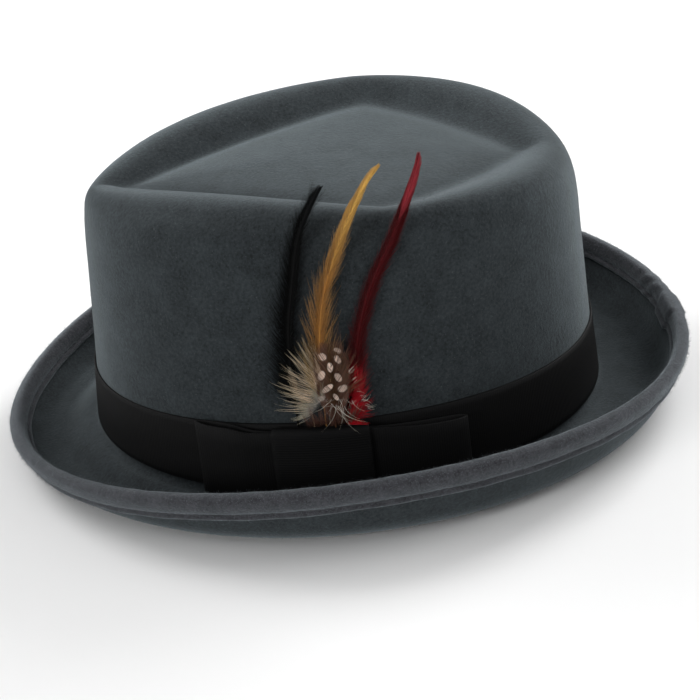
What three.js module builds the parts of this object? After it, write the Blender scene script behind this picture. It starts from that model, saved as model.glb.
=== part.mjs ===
// A diamond-crown trilby of blocked wool felt, with a curled brim, a ribbon band, a flat bow and feathers.
// Millimetres. The hat faces -Y, the wearer's left is +X, and the brim rests on z = 0.
import * as THREE from "three";

// Thicknesses and clearances
const FELT = 2;
const RIBBON = 1;
const BINDING = 1.2;
const GAP = 0.3;

// Steps round the hat. A multiple of four, so that the front, back and side corners fall on a step.
const COLUMNS = 64;

// Brim: from the foot it slopes down to a level trough and then curls up in an arc that ends in a straight
// lip. The edge ring is the outermost line of the binding, and the angles are how far the curl turns up, in
// degrees. At the sides the trough is lifted, so that the hat stands on its front and its back.
const BRIM_EDGE = {
  front: 136, back: 136.5, side: 121.5, corner: 0, frontCurve: 1.95, backCurve: 2.05,
  zFront: 12.8, zSide: 30.3, zBack: 21.2, swellFront: 0, swellBack: 0,
};
const CURL_RADIUS = 11;
const CURL_ANGLE = { front: 60, side: 75, back: 65 };
const CURL_STEPS = 4;
const LIP_STEPS = 2;
const BREAK_RADIUS = 3.4;
const BREAK_STEPS = 2;
const SLOPE_STEPS = 2;
const TROUGH = 5;
const TROUGH_LIFT = 1.5;
const LEVEL_SECTOR = 0.5;

// Binding: how far it reaches down from the edge on each face
const BINDING_DEPTH = 11;
const BINDING_STEPS = 3;

// Crown rings from the foot to the tip, on the outer face. front, back and side are distances from the
// middle, corner is how far the side corners lie behind it, and frontCurve and backCurve are superellipse
// exponents: 2 is an ellipse and 1 a straight line from the end to the side corner. swellFront and swellBack
// are extra height halfway between an end and a side corner. steps is the number of rows up to the next ring.
const CROWN_RINGS = [
  { name: "foot", front: 101.7, back: 101.7, side: 86.7, corner: 0, frontCurve: 2, backCurve: 2,
    zFront: 10, zSide: 7.8, zBack: 5.4, swellFront: 0, swellBack: 0, steps: 2 },
  { name: "band_top", front: 99.2, back: 100.3, side: 84.5, corner: 1, frontCurve: 2, backCurve: 2,
    zFront: 39, zSide: 36.5, zBack: 34, swellFront: 0, swellBack: 0, steps: 2 },
  { name: "wall", front: 97, back: 99.5, side: 80, corner: 6, frontCurve: 1.95, backCurve: 1.95,
    zFront: 69, zSide: 68.5, zBack: 64, swellFront: 0, swellBack: 0, steps: 2 },
  { name: "shoulder", front: 94.8, back: 98.2, side: 75, corner: 14.5, frontCurve: 1.85, backCurve: 1.92,
    zFront: 95.8, zSide: 100.2, zBack: 91.2, swellFront: 5, swellBack: 3, steps: 2 },
  { name: "brow", front: 92.8, back: 95, side: 71.5, corner: 17.5, frontCurve: 1.6, backCurve: 1.9,
    zFront: 103.6, zSide: 108.7, zBack: 99.4, swellFront: 4.5, swellBack: 3, steps: 2 },
  { name: "crest", front: 87.5, back: 88, side: 65, corner: 20.5, frontCurve: 1.22, backCurve: 1.62,
    zFront: 107.3, zSide: 112.6, zBack: 103.3, swellFront: 4.5, swellBack: 1, steps: 2 },
  { name: "valley", front: 78.5, back: 79, side: 55, corner: 20.5, frontCurve: 1.12, backCurve: 1.22,
    zFront: 104, zSide: 106.2, zBack: 98.8, swellFront: 0, swellBack: 0, steps: 2 },
  { name: "tip_edge", front: 63.5, back: 66.5, side: 43, corner: 18.5, frontCurve: 1.2, backCurve: 1.26,
    zFront: 105.8, zSide: 107.6, zBack: 101.9, swellFront: 0, swellBack: 0, steps: 2 },
  { name: "tip", front: 19.5, back: 26.5, side: 14, corner: 12.5, frontCurve: 1.5, backCurve: 1.5,
    zFront: 109, zSide: 108.8, zBack: 107.9, swellFront: 0, swellBack: 0, steps: 1 },
];
const FOOT_RING = CROWN_RINGS[0];
const CREST_INDEX = CROWN_RINGS.findIndex((ring) => ring.name === "crest");
const TIP_CENTRE = new THREE.Vector3(0, 8.5, 108.9);

// Band: how far its foot laps the brim's break, and its upper edge, which dips to the front and the back
const BAND_LAP = 0.5;
const BAND_TOP = { front: 33.4, side: 36.6, back: 31.2 };
const BAND_STEPS = 2;

// Bow, on the wearer's left. away is the distance of the ribbon's middle line from the crown's wall, and
// along is measured from the bow's middle toward the back.
const BOW_MIDDLE = -8.5;
const BOW_FOOT = 6.3;
const BOW_WIDTH = 30.5;
const BOW_TILT = -0.03;
const BOW_BACK = 3.4;
const BOW_FRONT = BOW_BACK + RIBBON + GAP;
const BOW_PATH = [
  { along: -48.5, away: 3.6 },
  { along: -46.5, away: 2.3 },
  { along: -23, away: BOW_BACK },
  { along: -2, away: BOW_BACK },
  { along: 18, away: BOW_BACK },
  { along: 48, away: 2.3 },
  { along: 50, away: 3.6 },
  { along: 47.5, away: 5 },
  { along: 32, away: 5.9 },
  { along: 18, away: BOW_FRONT },
  { along: -2, away: BOW_FRONT },
  { along: -23, away: BOW_FRONT },
  { along: -34, away: 5.9 },
  { along: -46, away: 5 },
];
const BOW_STEPS = 2;

// Knot: a strip folded over the front of the bow, its ends turned in above and below it
const KNOT = { from: -21, to: 14, behind: 3, rise: 0.35 };
const KNOT_STEPS = 4;

// Feathers. Each row is a place on the centre line: along is y, away is the distance from the crown's wall,
// and width is the vane's. The foot of each is its quill, which is tucked in behind the bow.
const FEATHERS = [
  { name: "feather_black", colour: "#0d1112", thickness: 1.2, rows: [
    { along: -20, height: 28, away: 2.1, width: 1.6 },
    { along: -20, height: 41, away: 2.1, width: 1.8 },
    { along: -21.8, height: 50, away: 1.5, width: 8 },
    { along: -21, height: 72, away: 1.5, width: 11 },
    { along: -17.8, height: 88, away: 1.5, width: 9.5 },
    { along: -11.9, height: 109, away: 1.5, width: 7.2 },
    { along: -6, height: 120, away: 1.5, width: 4.6 },
    { along: -1.2, height: 127.5, away: 1.5, width: 0.8 },
  ] },
  { name: "feather_gold", colour: "#c68a30", thickness: 1.2, rows: [
    { along: -11.3, height: 28, away: 2.1, width: 1.6 },
    { along: -11, height: 41, away: 2.1, width: 1.8 },
    { along: -8.8, height: 50, away: 3.4, width: 9 },
    { along: -7.2, height: 67, away: 3.4, width: 12 },
    { along: -4, height: 85, away: 3.4, width: 10 },
    { along: 1.6, height: 99.5, away: 3.4, width: 7.2 },
    { along: 7.3, height: 114, away: 3.4, width: 7.2 },
    { along: 14.6, height: 127, away: 3.4, width: 6 },
    { along: 20, height: 134.8, away: 3.4, width: 0.8 },
  ] },
  { name: "feather_red", colour: "#8c1a26", thickness: 1.2, rows: [
    { along: -2.2, height: 28, away: 2.1, width: 1.6 },
    { along: -1.6, height: 41, away: 2.1, width: 1.8 },
    { along: 2.5, height: 50, away: 1.6, width: 7 },
    { along: 6.2, height: 70, away: 1.5, width: 7.5 },
    { along: 12.2, height: 87, away: 1.5, width: 6.8 },
    { along: 20.4, height: 103, away: 1.5, width: 6.2 },
    { along: 28.4, height: 117, away: 1.5, width: 5.2 },
    { along: 33.2, height: 129, away: 1.5, width: 3.4 },
    { along: 34.8, height: 136, away: 1.5, width: 0.8 },
  ] },
  { name: "feather_spotted", colour: "#5a4238", thickness: 1.2, rows: [
    { along: -6.8, height: 28, away: 2.1, width: 1.6 },
    { along: -6.8, height: 41, away: 2.1, width: 1.8 },
    { along: -7, height: 45, away: 5, width: 13 },
    { along: -6.7, height: 54, away: 5.2, width: 20 },
    { along: -5.6, height: 63, away: 5.2, width: 16 },
    { along: -5, height: 70, away: 5.2, width: 2 },
  ] },
  { name: "feather_down", colour: "#b7a58f", thickness: 1.2, rows: [
    { along: -15.6, height: 28, away: 2.1, width: 1.6 },
    { along: -15.6, height: 41, away: 2.1, width: 1.8 },
    { along: -19.4, height: 46, away: 4, width: 8 },
    { along: -22.4, height: 55, away: 4, width: 12 },
    { along: -20, height: 69, away: 4, width: 2 },
  ] },
];
const FEATHER_STEPS = 2;

// Above this height the feathers stand on the wall carried on as a straight line
const STRAIGHT_ABOVE = 84;
const WALL_STEP = 4;
const BISECTIONS = 16;

const radians = (degrees) => (degrees * Math.PI) / 180;
const signedPower = (value, power) => Math.sign(value) * Math.abs(value) ** power;
const columnAngle = (column) => (2 * Math.PI * column) / COLUMNS;
const offset = (point, normal, distance) => point.clone().addScaledVector(normal, distance);

// A value given at the front, the side and the back, at an angle from the back (0) to the front (pi)
function aroundHat(front, side, back, angle) {
  const c = Math.cos(angle);
  const lean = (back - front) / 2;
  const saddle = (front + back) / 2 - side;
  return side + lean * c + saddle * c * c;
}

// A point of a ring: half an ellipse-like curve in front of the side corners, and half behind them
function ringPoint(ring, angle) {
  const c = Math.cos(angle);
  const s = Math.sin(angle);
  const power = 2 / (c > 0 ? ring.backCurve : ring.frontCurve);
  const reach = c > 0 ? ring.back - ring.corner : ring.front + ring.corner;
  const swell = (c > 0 ? ring.swellBack : ring.swellFront) * (2 * s * c) ** 2;
  return new THREE.Vector3(
    ring.side * signedPower(s, power),
    ring.corner + reach * signedPower(c, power),
    aroundHat(ring.zFront, ring.zSide, ring.zBack, angle) + swell,
  );
}

// Height of the trough's upper face: level round the front and the back, and lifted at the sides
function troughHeight(angle) {
  const sideways = (Math.sin(angle) ** 2 - LEVEL_SECTOR ** 2) / (1 - LEVEL_SECTOR ** 2);
  return FELT + TROUGH_LIFT * Math.max(sideways, 0);
}

// The curl of the brim at one angle: where the trough ends, how far the arc turns and how long the lip is
function brimCurl(angle) {
  const foot = ringPoint(FOOT_RING, angle);
  const edge = ringPoint(BRIM_EDGE, angle);
  const outward = new THREE.Vector3(edge.x - foot.x, edge.y - foot.y, 0);
  const run = outward.length();
  const low = troughHeight(angle);
  const turn = radians(aroundHat(CURL_ANGLE.front, CURL_ANGLE.side, CURL_ANGLE.back, angle));
  const arcRun = CURL_RADIUS * Math.sin(turn);
  const arcRise = CURL_RADIUS * (1 - Math.cos(turn));
  const lip = (edge.z - low - arcRise) / Math.sin(turn);
  return { foot, outward: outward.normalize(), low, turn, lip, troughEnd: run - arcRun - lip * Math.cos(turn) };
}

// A point of the brim's upper face and its normal, at a distance from the edge measured along the felt
function brimAt(angle, fromEdge) {
  const { foot, outward, low, turn, lip, troughEnd } = brimCurl(angle);
  const bend = turn - Math.max(fromEdge - lip, 0) / CURL_RADIUS;
  const onLip = Math.max(lip - fromEdge, 0);
  const distance = troughEnd + CURL_RADIUS * Math.sin(bend) + onLip * Math.cos(turn);
  const height = low + CURL_RADIUS * (1 - Math.cos(bend)) + onLip * Math.sin(turn);
  const point = new THREE.Vector3(foot.x, foot.y, height).addScaledVector(outward, distance);
  const normal = new THREE.Vector3(0, 0, Math.cos(bend)).addScaledVector(outward, -Math.sin(bend));
  return { point, normal };
}

// The brim's upper face at one angle, from the crown's foot out to the felt's edge: the break, the slope,
// the trough, the arc of the curl and its lip. stop is how far short of the edge ring the felt ends.
function brimProfile(angle, stop) {
  const { foot, outward, low, turn, lip, troughEnd } = brimCurl(angle);
  const at = (distance, height, flat) => ({
    point: new THREE.Vector3(foot.x, foot.y, height).addScaledVector(outward, distance),
    flat,
  });
  const rows = [];
  for (let i = 1; i <= BREAK_STEPS; i += 1) {
    const a = ((Math.PI / 2) * i) / BREAK_STEPS;
    rows.push(at(BREAK_RADIUS * (1 - Math.cos(a)), foot.z - BREAK_RADIUS * Math.sin(a), false));
  }
  const breakHeight = foot.z - BREAK_RADIUS;
  for (let i = 1; i <= SLOPE_STEPS; i += 1) {
    const share = i / SLOPE_STEPS;
    const distance = THREE.MathUtils.lerp(BREAK_RADIUS, troughEnd - TROUGH, share);
    const height = THREE.MathUtils.lerp(breakHeight, low, THREE.MathUtils.smoothstep(share, 0, 1));
    rows.push(at(distance, height, i === SLOPE_STEPS));
  }
  rows.push(at(troughEnd, low, true));
  for (let i = 1; i <= CURL_STEPS; i += 1) {
    const fromEdge = lip + CURL_RADIUS * turn * (1 - i / CURL_STEPS);
    rows.push({ point: brimAt(angle, fromEdge).point, flat: false });
  }
  for (let i = 1; i <= LIP_STEPS; i += 1) {
    const fromEdge = lip + ((stop - lip) * i) / LIP_STEPS;
    rows.push({ point: brimAt(angle, fromEdge).point, flat: false });
  }
  return rows;
}

// A smooth curve up the crown's outer face at one angle, through every ring to the centre of the tip
function crownCurve(angle) {
  const knots = [...CROWN_RINGS.map((ring) => ringPoint(ring, angle)), TIP_CENTRE];
  return new THREE.CatmullRomCurve3(knots, false, "centripetal");
}

// The crown's outer face at one angle, from the rim of the tip down to the foot
function crownProfile(angle) {
  const curve = crownCurve(angle);
  const rows = CROWN_RINGS.flatMap((ring, index) => Array.from({ length: ring.steps }, (_, i) => ({
    point: curve.getPoint((index + i / ring.steps) / CROWN_RINGS.length),
    flat: false,
  })));
  return rows.reverse();
}

// Joins loops of equal length into one closed body. Without ends the last loop joins the first. Ends are
// either two pole points or CAPPED, which closes a strip-like loop by joining each point to its opposite.
const CAPPED = "capped";
function closedBody(loops, ends) {
  const size = loops[0].length;
  const positions = loops.flat().flatMap((p) => [p.x, p.y, p.z]);
  const index = [];
  const bands = ends ? loops.length - 1 : loops.length;
  for (let row = 0; row < bands; row += 1) {
    const next = (row + 1) % loops.length;
    for (let i = 0; i < size; i += 1) {
      const j = (i + 1) % size;
      const a = row * size + i;
      const b = row * size + j;
      const c = next * size + j;
      const d = next * size + i;
      index.push(a, b, c, a, c, d);
    }
  }
  const last = (loops.length - 1) * size;
  if (ends === CAPPED) {
    for (let i = 0; i < size / 2 - 1; i += 1) {
      const opposite = size - 1 - i;
      index.push(i, opposite - 1, i + 1, i, opposite, opposite - 1);
      index.push(last + i, last + i + 1, last + opposite - 1, last + i, last + opposite - 1, last + opposite);
    }
  } else if (ends) {
    const pole = loops.length * size;
    positions.push(...ends[0].toArray(), ...ends[1].toArray());
    for (let i = 0; i < size; i += 1) {
      const j = (i + 1) % size;
      index.push(pole, j, i);
      index.push(pole + 1, last + i, last + j);
    }
  }
  const geometry = new THREE.BufferGeometry();
  geometry.setAttribute("position", new THREE.Float32BufferAttribute(positions, 3));
  geometry.setIndex(index);
  geometry.computeVertexNormals();
  return geometry;
}

// Unit normals of a grid of rows, where each row runs round the hat from the back over +X
function gridNormals(rows) {
  return rows.map((row, r) => row.map((entry, i) => {
    if (entry.flat) {
      return new THREE.Vector3(0, 0, 1);
    }
    const up = rows[Math.max(r - 1, 0)][i].point;
    const down = rows[Math.min(r + 1, rows.length - 1)][i].point;
    const before = row[(i + COLUMNS - 1) % COLUMNS].point;
    const after = row[(i + 1) % COLUMNS].point;
    const along = new THREE.Vector3().subVectors(after, before);
    return new THREE.Vector3().subVectors(up, down).cross(along).normalize();
  }));
}

// Crown and brim in one wall: the upper face from the tip to the edge, and the under face back again
function feltBody() {
  const columns = Array.from({ length: COLUMNS }, (_, i) => {
    const angle = columnAngle(i);
    return [...crownProfile(angle), ...brimProfile(angle, GAP + BINDING)];
  });
  const rows = columns[0].map((_, r) => columns.map((column) => column[r]));
  const normals = gridNormals(rows);
  const upper = rows.map((row) => row.map((entry) => entry.point));
  const under = upper.map((row, r) => row.map((point, i) => offset(point, normals[r][i], -FELT)));
  const tipUnder = TIP_CENTRE.clone().setZ(TIP_CENTRE.z - FELT);
  return closedBody([...upper, ...under.reverse()], [TIP_CENTRE, tipUnder]);
}

// The binding is folded over the edge: its loop runs out along the felt's upper face, round the edge, back
// along the under face, and home along the outside of the fold.
function edgeBinding() {
  const clear = { upper: GAP, under: -FELT - GAP };
  const outside = { upper: GAP + BINDING, under: -FELT - GAP - BINDING };
  const shares = Array.from({ length: BINDING_STEPS + 1 }, (_, i) => 1 - i / BINDING_STEPS);
  const round = BINDING / 2;
  const fold = [
    { share: 0, fromEdge: round / 2, away: outside.under + round },
    { share: 0, fromEdge: 0, away: -FELT / 2 },
    { share: 0, fromEdge: round / 2, away: outside.upper - round },
  ];
  const face = (away) => shares.map((share) => ({ share, fromEdge: BINDING, away }));
  const section = [
    ...face(clear.upper),
    ...face(clear.under).reverse(),
    ...face(outside.under),
    ...fold,
    ...face(outside.upper).reverse(),
  ];
  const loops = Array.from({ length: COLUMNS }, (_, column) => {
    const angle = columnAngle(column);
    const reach = BINDING_DEPTH - BINDING;
    return section.map(({ share, fromEdge, away }) => {
      const { point, normal } = brimAt(angle, fromEdge + share * reach);
      return offset(point, normal, away);
    });
  });
  return closedBody(loops);
}

// The point at a height on a crown curve, between the foot and the crest
function wallAt(curve, height) {
  let low = 0;
  let high = CREST_INDEX / CROWN_RINGS.length;
  for (let i = 0; i < BISECTIONS; i += 1) {
    const middle = (low + high) / 2;
    if (curve.getPoint(middle).z < height) {
      low = middle;
    } else {
      high = middle;
    }
  }
  return curve.getPoint(low);
}

// A point of the wall on the wearer's left, at a place y along the hat and a height
function leftWall(y, height) {
  let back = 0;
  let front = Math.PI;
  for (let i = 0; i < BISECTIONS; i += 1) {
    const middle = (back + front) / 2;
    if (wallAt(crownCurve(middle), height).y > y) {
      back = middle;
    } else {
      front = middle;
    }
  }
  return wallAt(crownCurve(back), height);
}

// A point that stands off the left wall, level with its place. Below the foot the wall is carried on straight
// down, and above STRAIGHT_ABOVE along a straight line.
function offLeftWall(y, height, away) {
  const base = THREE.MathUtils.clamp(height, FOOT_RING.zSide + WALL_STEP, STRAIGHT_ABOVE);
  const point = leftWall(y, base);
  const rise = new THREE.Vector3().subVectors(point, leftWall(y, base - WALL_STEP)).divideScalar(WALL_STEP);
  const before = leftWall(y - WALL_STEP, base);
  const after = leftWall(y + WALL_STEP, base);
  const outward = new THREE.Vector3(after.y - before.y, before.x - after.x, 0).normalize();
  return offset(point, outward, away).addScaledVector(rise, height - base);
}

// The ribbon round the foot of the crown
function band() {
  const loops = Array.from({ length: COLUMNS }, (_, column) => {
    const angle = columnAngle(column);
    const curve = crownCurve(angle);
    const low = ringPoint(FOOT_RING, angle).z - BAND_LAP;
    const high = aroundHat(BAND_TOP.front, BAND_TOP.side, BAND_TOP.back, angle);
    const heights = Array.from({ length: BAND_STEPS + 1 }, (_, i) => low + ((high - low) * i) / BAND_STEPS);
    const outward = new THREE.Vector3(
      Math.sin(angle) / FOOT_RING.side,
      Math.cos(angle) / FOOT_RING.front,
      0,
    ).normalize();
    const face = (away) => (height) => offset(wallAt(curve, height), outward, away).setZ(height);
    return [...heights.map(face(GAP)), ...[...heights].reverse().map(face(GAP + RIBBON))];
  });
  return closedBody(loops.reverse());
}

// A place on the bow: along from its middle, up from its foot, and away from the crown's wall
function bowPlace(along, height, away) {
  return offLeftWall(BOW_MIDDLE + along, BOW_FOOT + BOW_TILT * along + height, away);
}

// The bow's ribbon, laid along the band in one flat loop: round its path the section is a strip on edge
function bowLoop() {
  const knots = BOW_PATH.map(({ along, away }) => new THREE.Vector3(along, away, 0));
  const path = new THREE.CatmullRomCurve3(knots, true, "centripetal");
  const count = BOW_PATH.length * BOW_STEPS;
  const loops = Array.from({ length: count }, (_, i) => {
    const place = path.getPoint(i / count);
    const tangent = path.getTangent(i / count);
    const edge = (side, height) => bowPlace(
      place.x + (side * RIBBON * tangent.y) / 2, height, place.y - (side * RIBBON * tangent.x) / 2);
    return [edge(1, 0), edge(1, BOW_WIDTH), edge(-1, BOW_WIDTH), edge(-1, 0)];
  });
  return closedBody(loops);
}

// The strip over the bow's middle: out below the bow, up its front, and in again above it
function bowKnot() {
  const front = BOW_FRONT + RIBBON / 2 + GAP;
  const low = -KNOT.rise;
  const high = BOW_WIDTH + KNOT.rise;
  const path = [
    { outer: [low - RIBBON, KNOT.behind], inner: [low, KNOT.behind] },
    { outer: [low - RIBBON, front + RIBBON / 2], inner: [low, front] },
    { outer: [low, front + RIBBON], inner: [low + RIBBON / 2, front] },
    { outer: [high, front + RIBBON], inner: [high - RIBBON / 2, front] },
    { outer: [high + RIBBON, front + RIBBON / 2], inner: [high, front] },
    { outer: [high + RIBBON, KNOT.behind], inner: [high, KNOT.behind] },
  ];
  const places = Array.from({ length: KNOT_STEPS + 1 }, (_, i) => (
    THREE.MathUtils.lerp(KNOT.from, KNOT.to, i / KNOT_STEPS)));
  const loops = path.map(({ outer, inner }) => [
    ...places.map((along) => bowPlace(along, ...outer)),
    ...[...places].reverse().map((along) => bowPlace(along, ...inner)),
  ]);
  return closedBody(loops, CAPPED);
}

// A feather: a flat lens-shaped section, swept up its centre line and kept against the crown's curve
function feather({ rows, thickness }) {
  const centre = new THREE.CatmullRomCurve3(
    rows.map(({ along, height, away }) => new THREE.Vector3(along, height, away)), false, "centripetal");
  const widths = new THREE.CatmullRomCurve3(
    rows.map(({ width }, i) => new THREE.Vector3(width, i, 0)), false, "catmullrom", 0.5);
  const count = (rows.length - 1) * FEATHER_STEPS;
  const loops = Array.from({ length: count + 1 }, (_, i) => {
    const place = centre.getPoint(i / count);
    const tangent = centre.getTangent(i / count);
    const across = new THREE.Vector2(tangent.y, -tangent.x).normalize();
    const half = widths.getPoint(i / count).x / 2;
    const deep = Math.min(thickness, half) / 2;
    const at = (side, lift) => offLeftWall(
      place.x + across.x * half * side, place.y + across.y * half * side, place.z + lift * deep);
    return [at(-1, 0), at(-0.5, 1), at(0.5, 1), at(1, 0), at(0.5, -1), at(-0.5, -1)];
  });
  return closedBody(loops, CAPPED);
}

const hat = new THREE.Group();

function addPiece(name, geometry, colour, roughness) {
  const mesh = new THREE.Mesh(geometry, new THREE.MeshStandardMaterial({ color: colour, roughness, metalness: 0 }));
  mesh.name = name;
  hat.add(mesh);
}

addPiece("felt_body", feltBody(), "#3b4448", 0.95);
addPiece("edge_binding", edgeBinding(), "#56545c", 0.98);
addPiece("band", band(), "#141414", 0.8);
addPiece("bow_loop", bowLoop(), "#141414", 0.8);
addPiece("bow_knot", bowKnot(), "#161616", 0.8);
FEATHERS.forEach((row) => addPiece(row.name, feather(row), row.colour, 0.7));

export default hat;
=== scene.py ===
"""A diamond-crown trilby of wool felt: the looks of its pieces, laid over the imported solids.

The hat faces -Y, the wearer's left is +X and the brim rests on z = 0. Sizes are given in millimetres and
become metres where a mesh is made. The felt, the binding and the ribbons follow the same ring sections as
the solids, only finer, and the feathers grow their barbs from the same centre lines.
"""

from __future__ import annotations

import logging
import math
from dataclasses import dataclass, field
from enum import Enum

import bmesh
import bpy
import numpy as np
from bpy.types import Material, Mesh, Node, NodeSocket, NodeTree, Object
from mathutils import Matrix, Vector

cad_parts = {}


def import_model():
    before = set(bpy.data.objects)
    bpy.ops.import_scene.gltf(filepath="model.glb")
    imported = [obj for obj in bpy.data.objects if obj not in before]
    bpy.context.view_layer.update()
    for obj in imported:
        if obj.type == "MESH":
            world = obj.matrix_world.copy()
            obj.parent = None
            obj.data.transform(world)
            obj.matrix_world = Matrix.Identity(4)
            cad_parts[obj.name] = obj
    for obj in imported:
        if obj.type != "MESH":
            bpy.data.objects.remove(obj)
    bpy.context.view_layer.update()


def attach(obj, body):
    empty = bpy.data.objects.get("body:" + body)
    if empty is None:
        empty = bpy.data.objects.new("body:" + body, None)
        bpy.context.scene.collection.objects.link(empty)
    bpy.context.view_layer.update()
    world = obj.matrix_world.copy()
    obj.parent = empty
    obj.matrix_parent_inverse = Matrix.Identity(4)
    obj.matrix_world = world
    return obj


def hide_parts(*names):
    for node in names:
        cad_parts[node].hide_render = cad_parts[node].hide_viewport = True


LOG = logging.getLogger("trilby")
MM = 0.001
BODY = "root"


class Slot(Enum):
    """The record's material slots."""

    FELT = "wool_felt"
    BINDING = "binding_felt"
    RIBBON = "grosgrain"
    BLACK = "black_feather"
    GOLD = "gold_feather"
    RED = "red_feather"
    SPOTTED = "spotted_feather"
    DOWN = "down_feather"


class RibRun(Enum):
    """Which way the ribs of a piece of ribbon run, as the axis of its UV map that crosses them."""

    UPRIGHT = 0
    LEVEL = 1


# Curves and meshes


def signed_power(value: np.ndarray, power: np.ndarray) -> np.ndarray:
    """Raises a value to a power and keeps its sign."""
    return np.sign(value) * np.abs(value) ** power


def around_hat(front: float, side: float, back: float, angle: np.ndarray) -> np.ndarray:
    """Blends a value round the hat.

    Args:
        front: The value at the front.
        side: The value at both sides.
        back: The value at the back.
        angle: Angles in radians from the back (0) to the front (pi).

    Returns:
        The value at each angle.
    """
    c = np.cos(angle)
    return side + (back - front) / 2 * c + ((front + back) / 2 - side) * c * c


def full_turn(count: int) -> np.ndarray:
    """Evenly spaced angles of one turn round the hat, from its back."""
    return np.linspace(0, 2 * math.pi, count, endpoint=False)


def run_along(line: np.ndarray) -> np.ndarray:
    """The distance along a line at each of its points."""
    return np.concatenate([[0], np.cumsum(np.linalg.norm(np.diff(line, axis=0), axis=1))])


def unit(vectors: np.ndarray) -> np.ndarray:
    """Scales each vector of an array to a length of one."""
    return vectors / np.linalg.norm(vectors, axis=1, keepdims=True)


def through_knots(knots: np.ndarray, share: np.ndarray) -> np.ndarray:
    """Samples a smooth open curve through knots, spaced by the square root of the chords.

    Args:
        knots: The knots, shape (knots, ..., axes).
        share: Places along the curve from 0 to 1, where equal shares lie between knots.

    Returns:
        The points, shape (shares, ..., axes).
    """
    first = 2 * knots[:1] - knots[1:2]
    last = 2 * knots[-1:] - knots[-2:-1]
    padded = np.concatenate([first, knots, last])
    place = np.clip(share, 0, 1) * (len(knots) - 1)
    index = np.minimum(place.astype(int), len(knots) - 2)
    shape = (-1,) + (1,) * (knots.ndim - 1)
    t = (place - index).reshape(shape)
    p0, p1, p2, p3 = (padded[index + i] for i in range(4))

    def chord(a: np.ndarray, b: np.ndarray) -> np.ndarray:
        """The square root of the distance between two knots."""
        return np.maximum(((b - a) ** 2).sum(-1, keepdims=True), 1e-8) ** 0.25

    d0, d1, d2 = chord(p0, p1), chord(p1, p2), chord(p2, p3)
    start = ((p1 - p0) / d0 - (p2 - p0) / (d0 + d1) + (p2 - p1) / d1) * d1
    end = ((p2 - p1) / d1 - (p3 - p1) / (d1 + d2) + (p3 - p2) / d2) * d1
    square = -3 * p1 + 3 * p2 - 2 * start - end
    cube = 2 * p1 - 2 * p2 + start + end
    return p1 + t * (start + t * (square + t * cube))


def round_smooth(grid: np.ndarray, spread: np.ndarray) -> np.ndarray:
    """Smooths each row of a closed grid round its loop.

    Args:
        grid: Points, shape (rows, columns, 3).
        spread: The standard deviation of each row's smoothing, in columns.

    Returns:
        The smoothed grid.
    """
    columns = grid.shape[1]
    frequency = np.fft.rfftfreq(columns)
    gain = np.exp(-2 * (np.pi * frequency[None, :] * spread[:, None]) ** 2)
    return np.fft.irfft(np.fft.rfft(grid, axis=1) * gain[:, :, None], n=columns, axis=1)


def grid_normals(grid: np.ndarray) -> np.ndarray:
    """Unit normals of a grid whose rows run down the hat and whose columns run round it.

    Args:
        grid: Points, shape (rows, columns, 3).

    Returns:
        The outward normals, of the same shape.
    """
    down = np.gradient(grid, axis=0)
    along = np.roll(grid, -1, axis=1) - np.roll(grid, 1, axis=1)
    normal = np.cross(along, down)
    normal = normal / np.maximum(np.linalg.norm(normal, axis=2, keepdims=True), 1e-9)
    return normal if (normal[len(grid) // 2] * grid[len(grid) // 2]).sum() > 0 else -normal


def dress(piece: Object, slot: Slot, *nodes: str) -> None:
    """Sets a finished piece on the hat's body.

    Args:
        piece: The piece.
        slot: The material slot that its finish comes from; not used.
        nodes: The solids that it stands for.
    """
    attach(piece, BODY)
    if nodes:
        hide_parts(*nodes)
    LOG.info("%s: %d faces", piece.name, len(piece.data.polygons))


def link(name: str, mesh: Mesh) -> Object:
    """Adds a mesh to the scene as an object at the origin.

    Args:
        name: The name of the object.
        mesh: The mesh.

    Returns:
        The object.
    """
    piece = bpy.data.objects.new(name, mesh)
    bpy.context.collection.objects.link(piece)
    return piece


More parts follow.
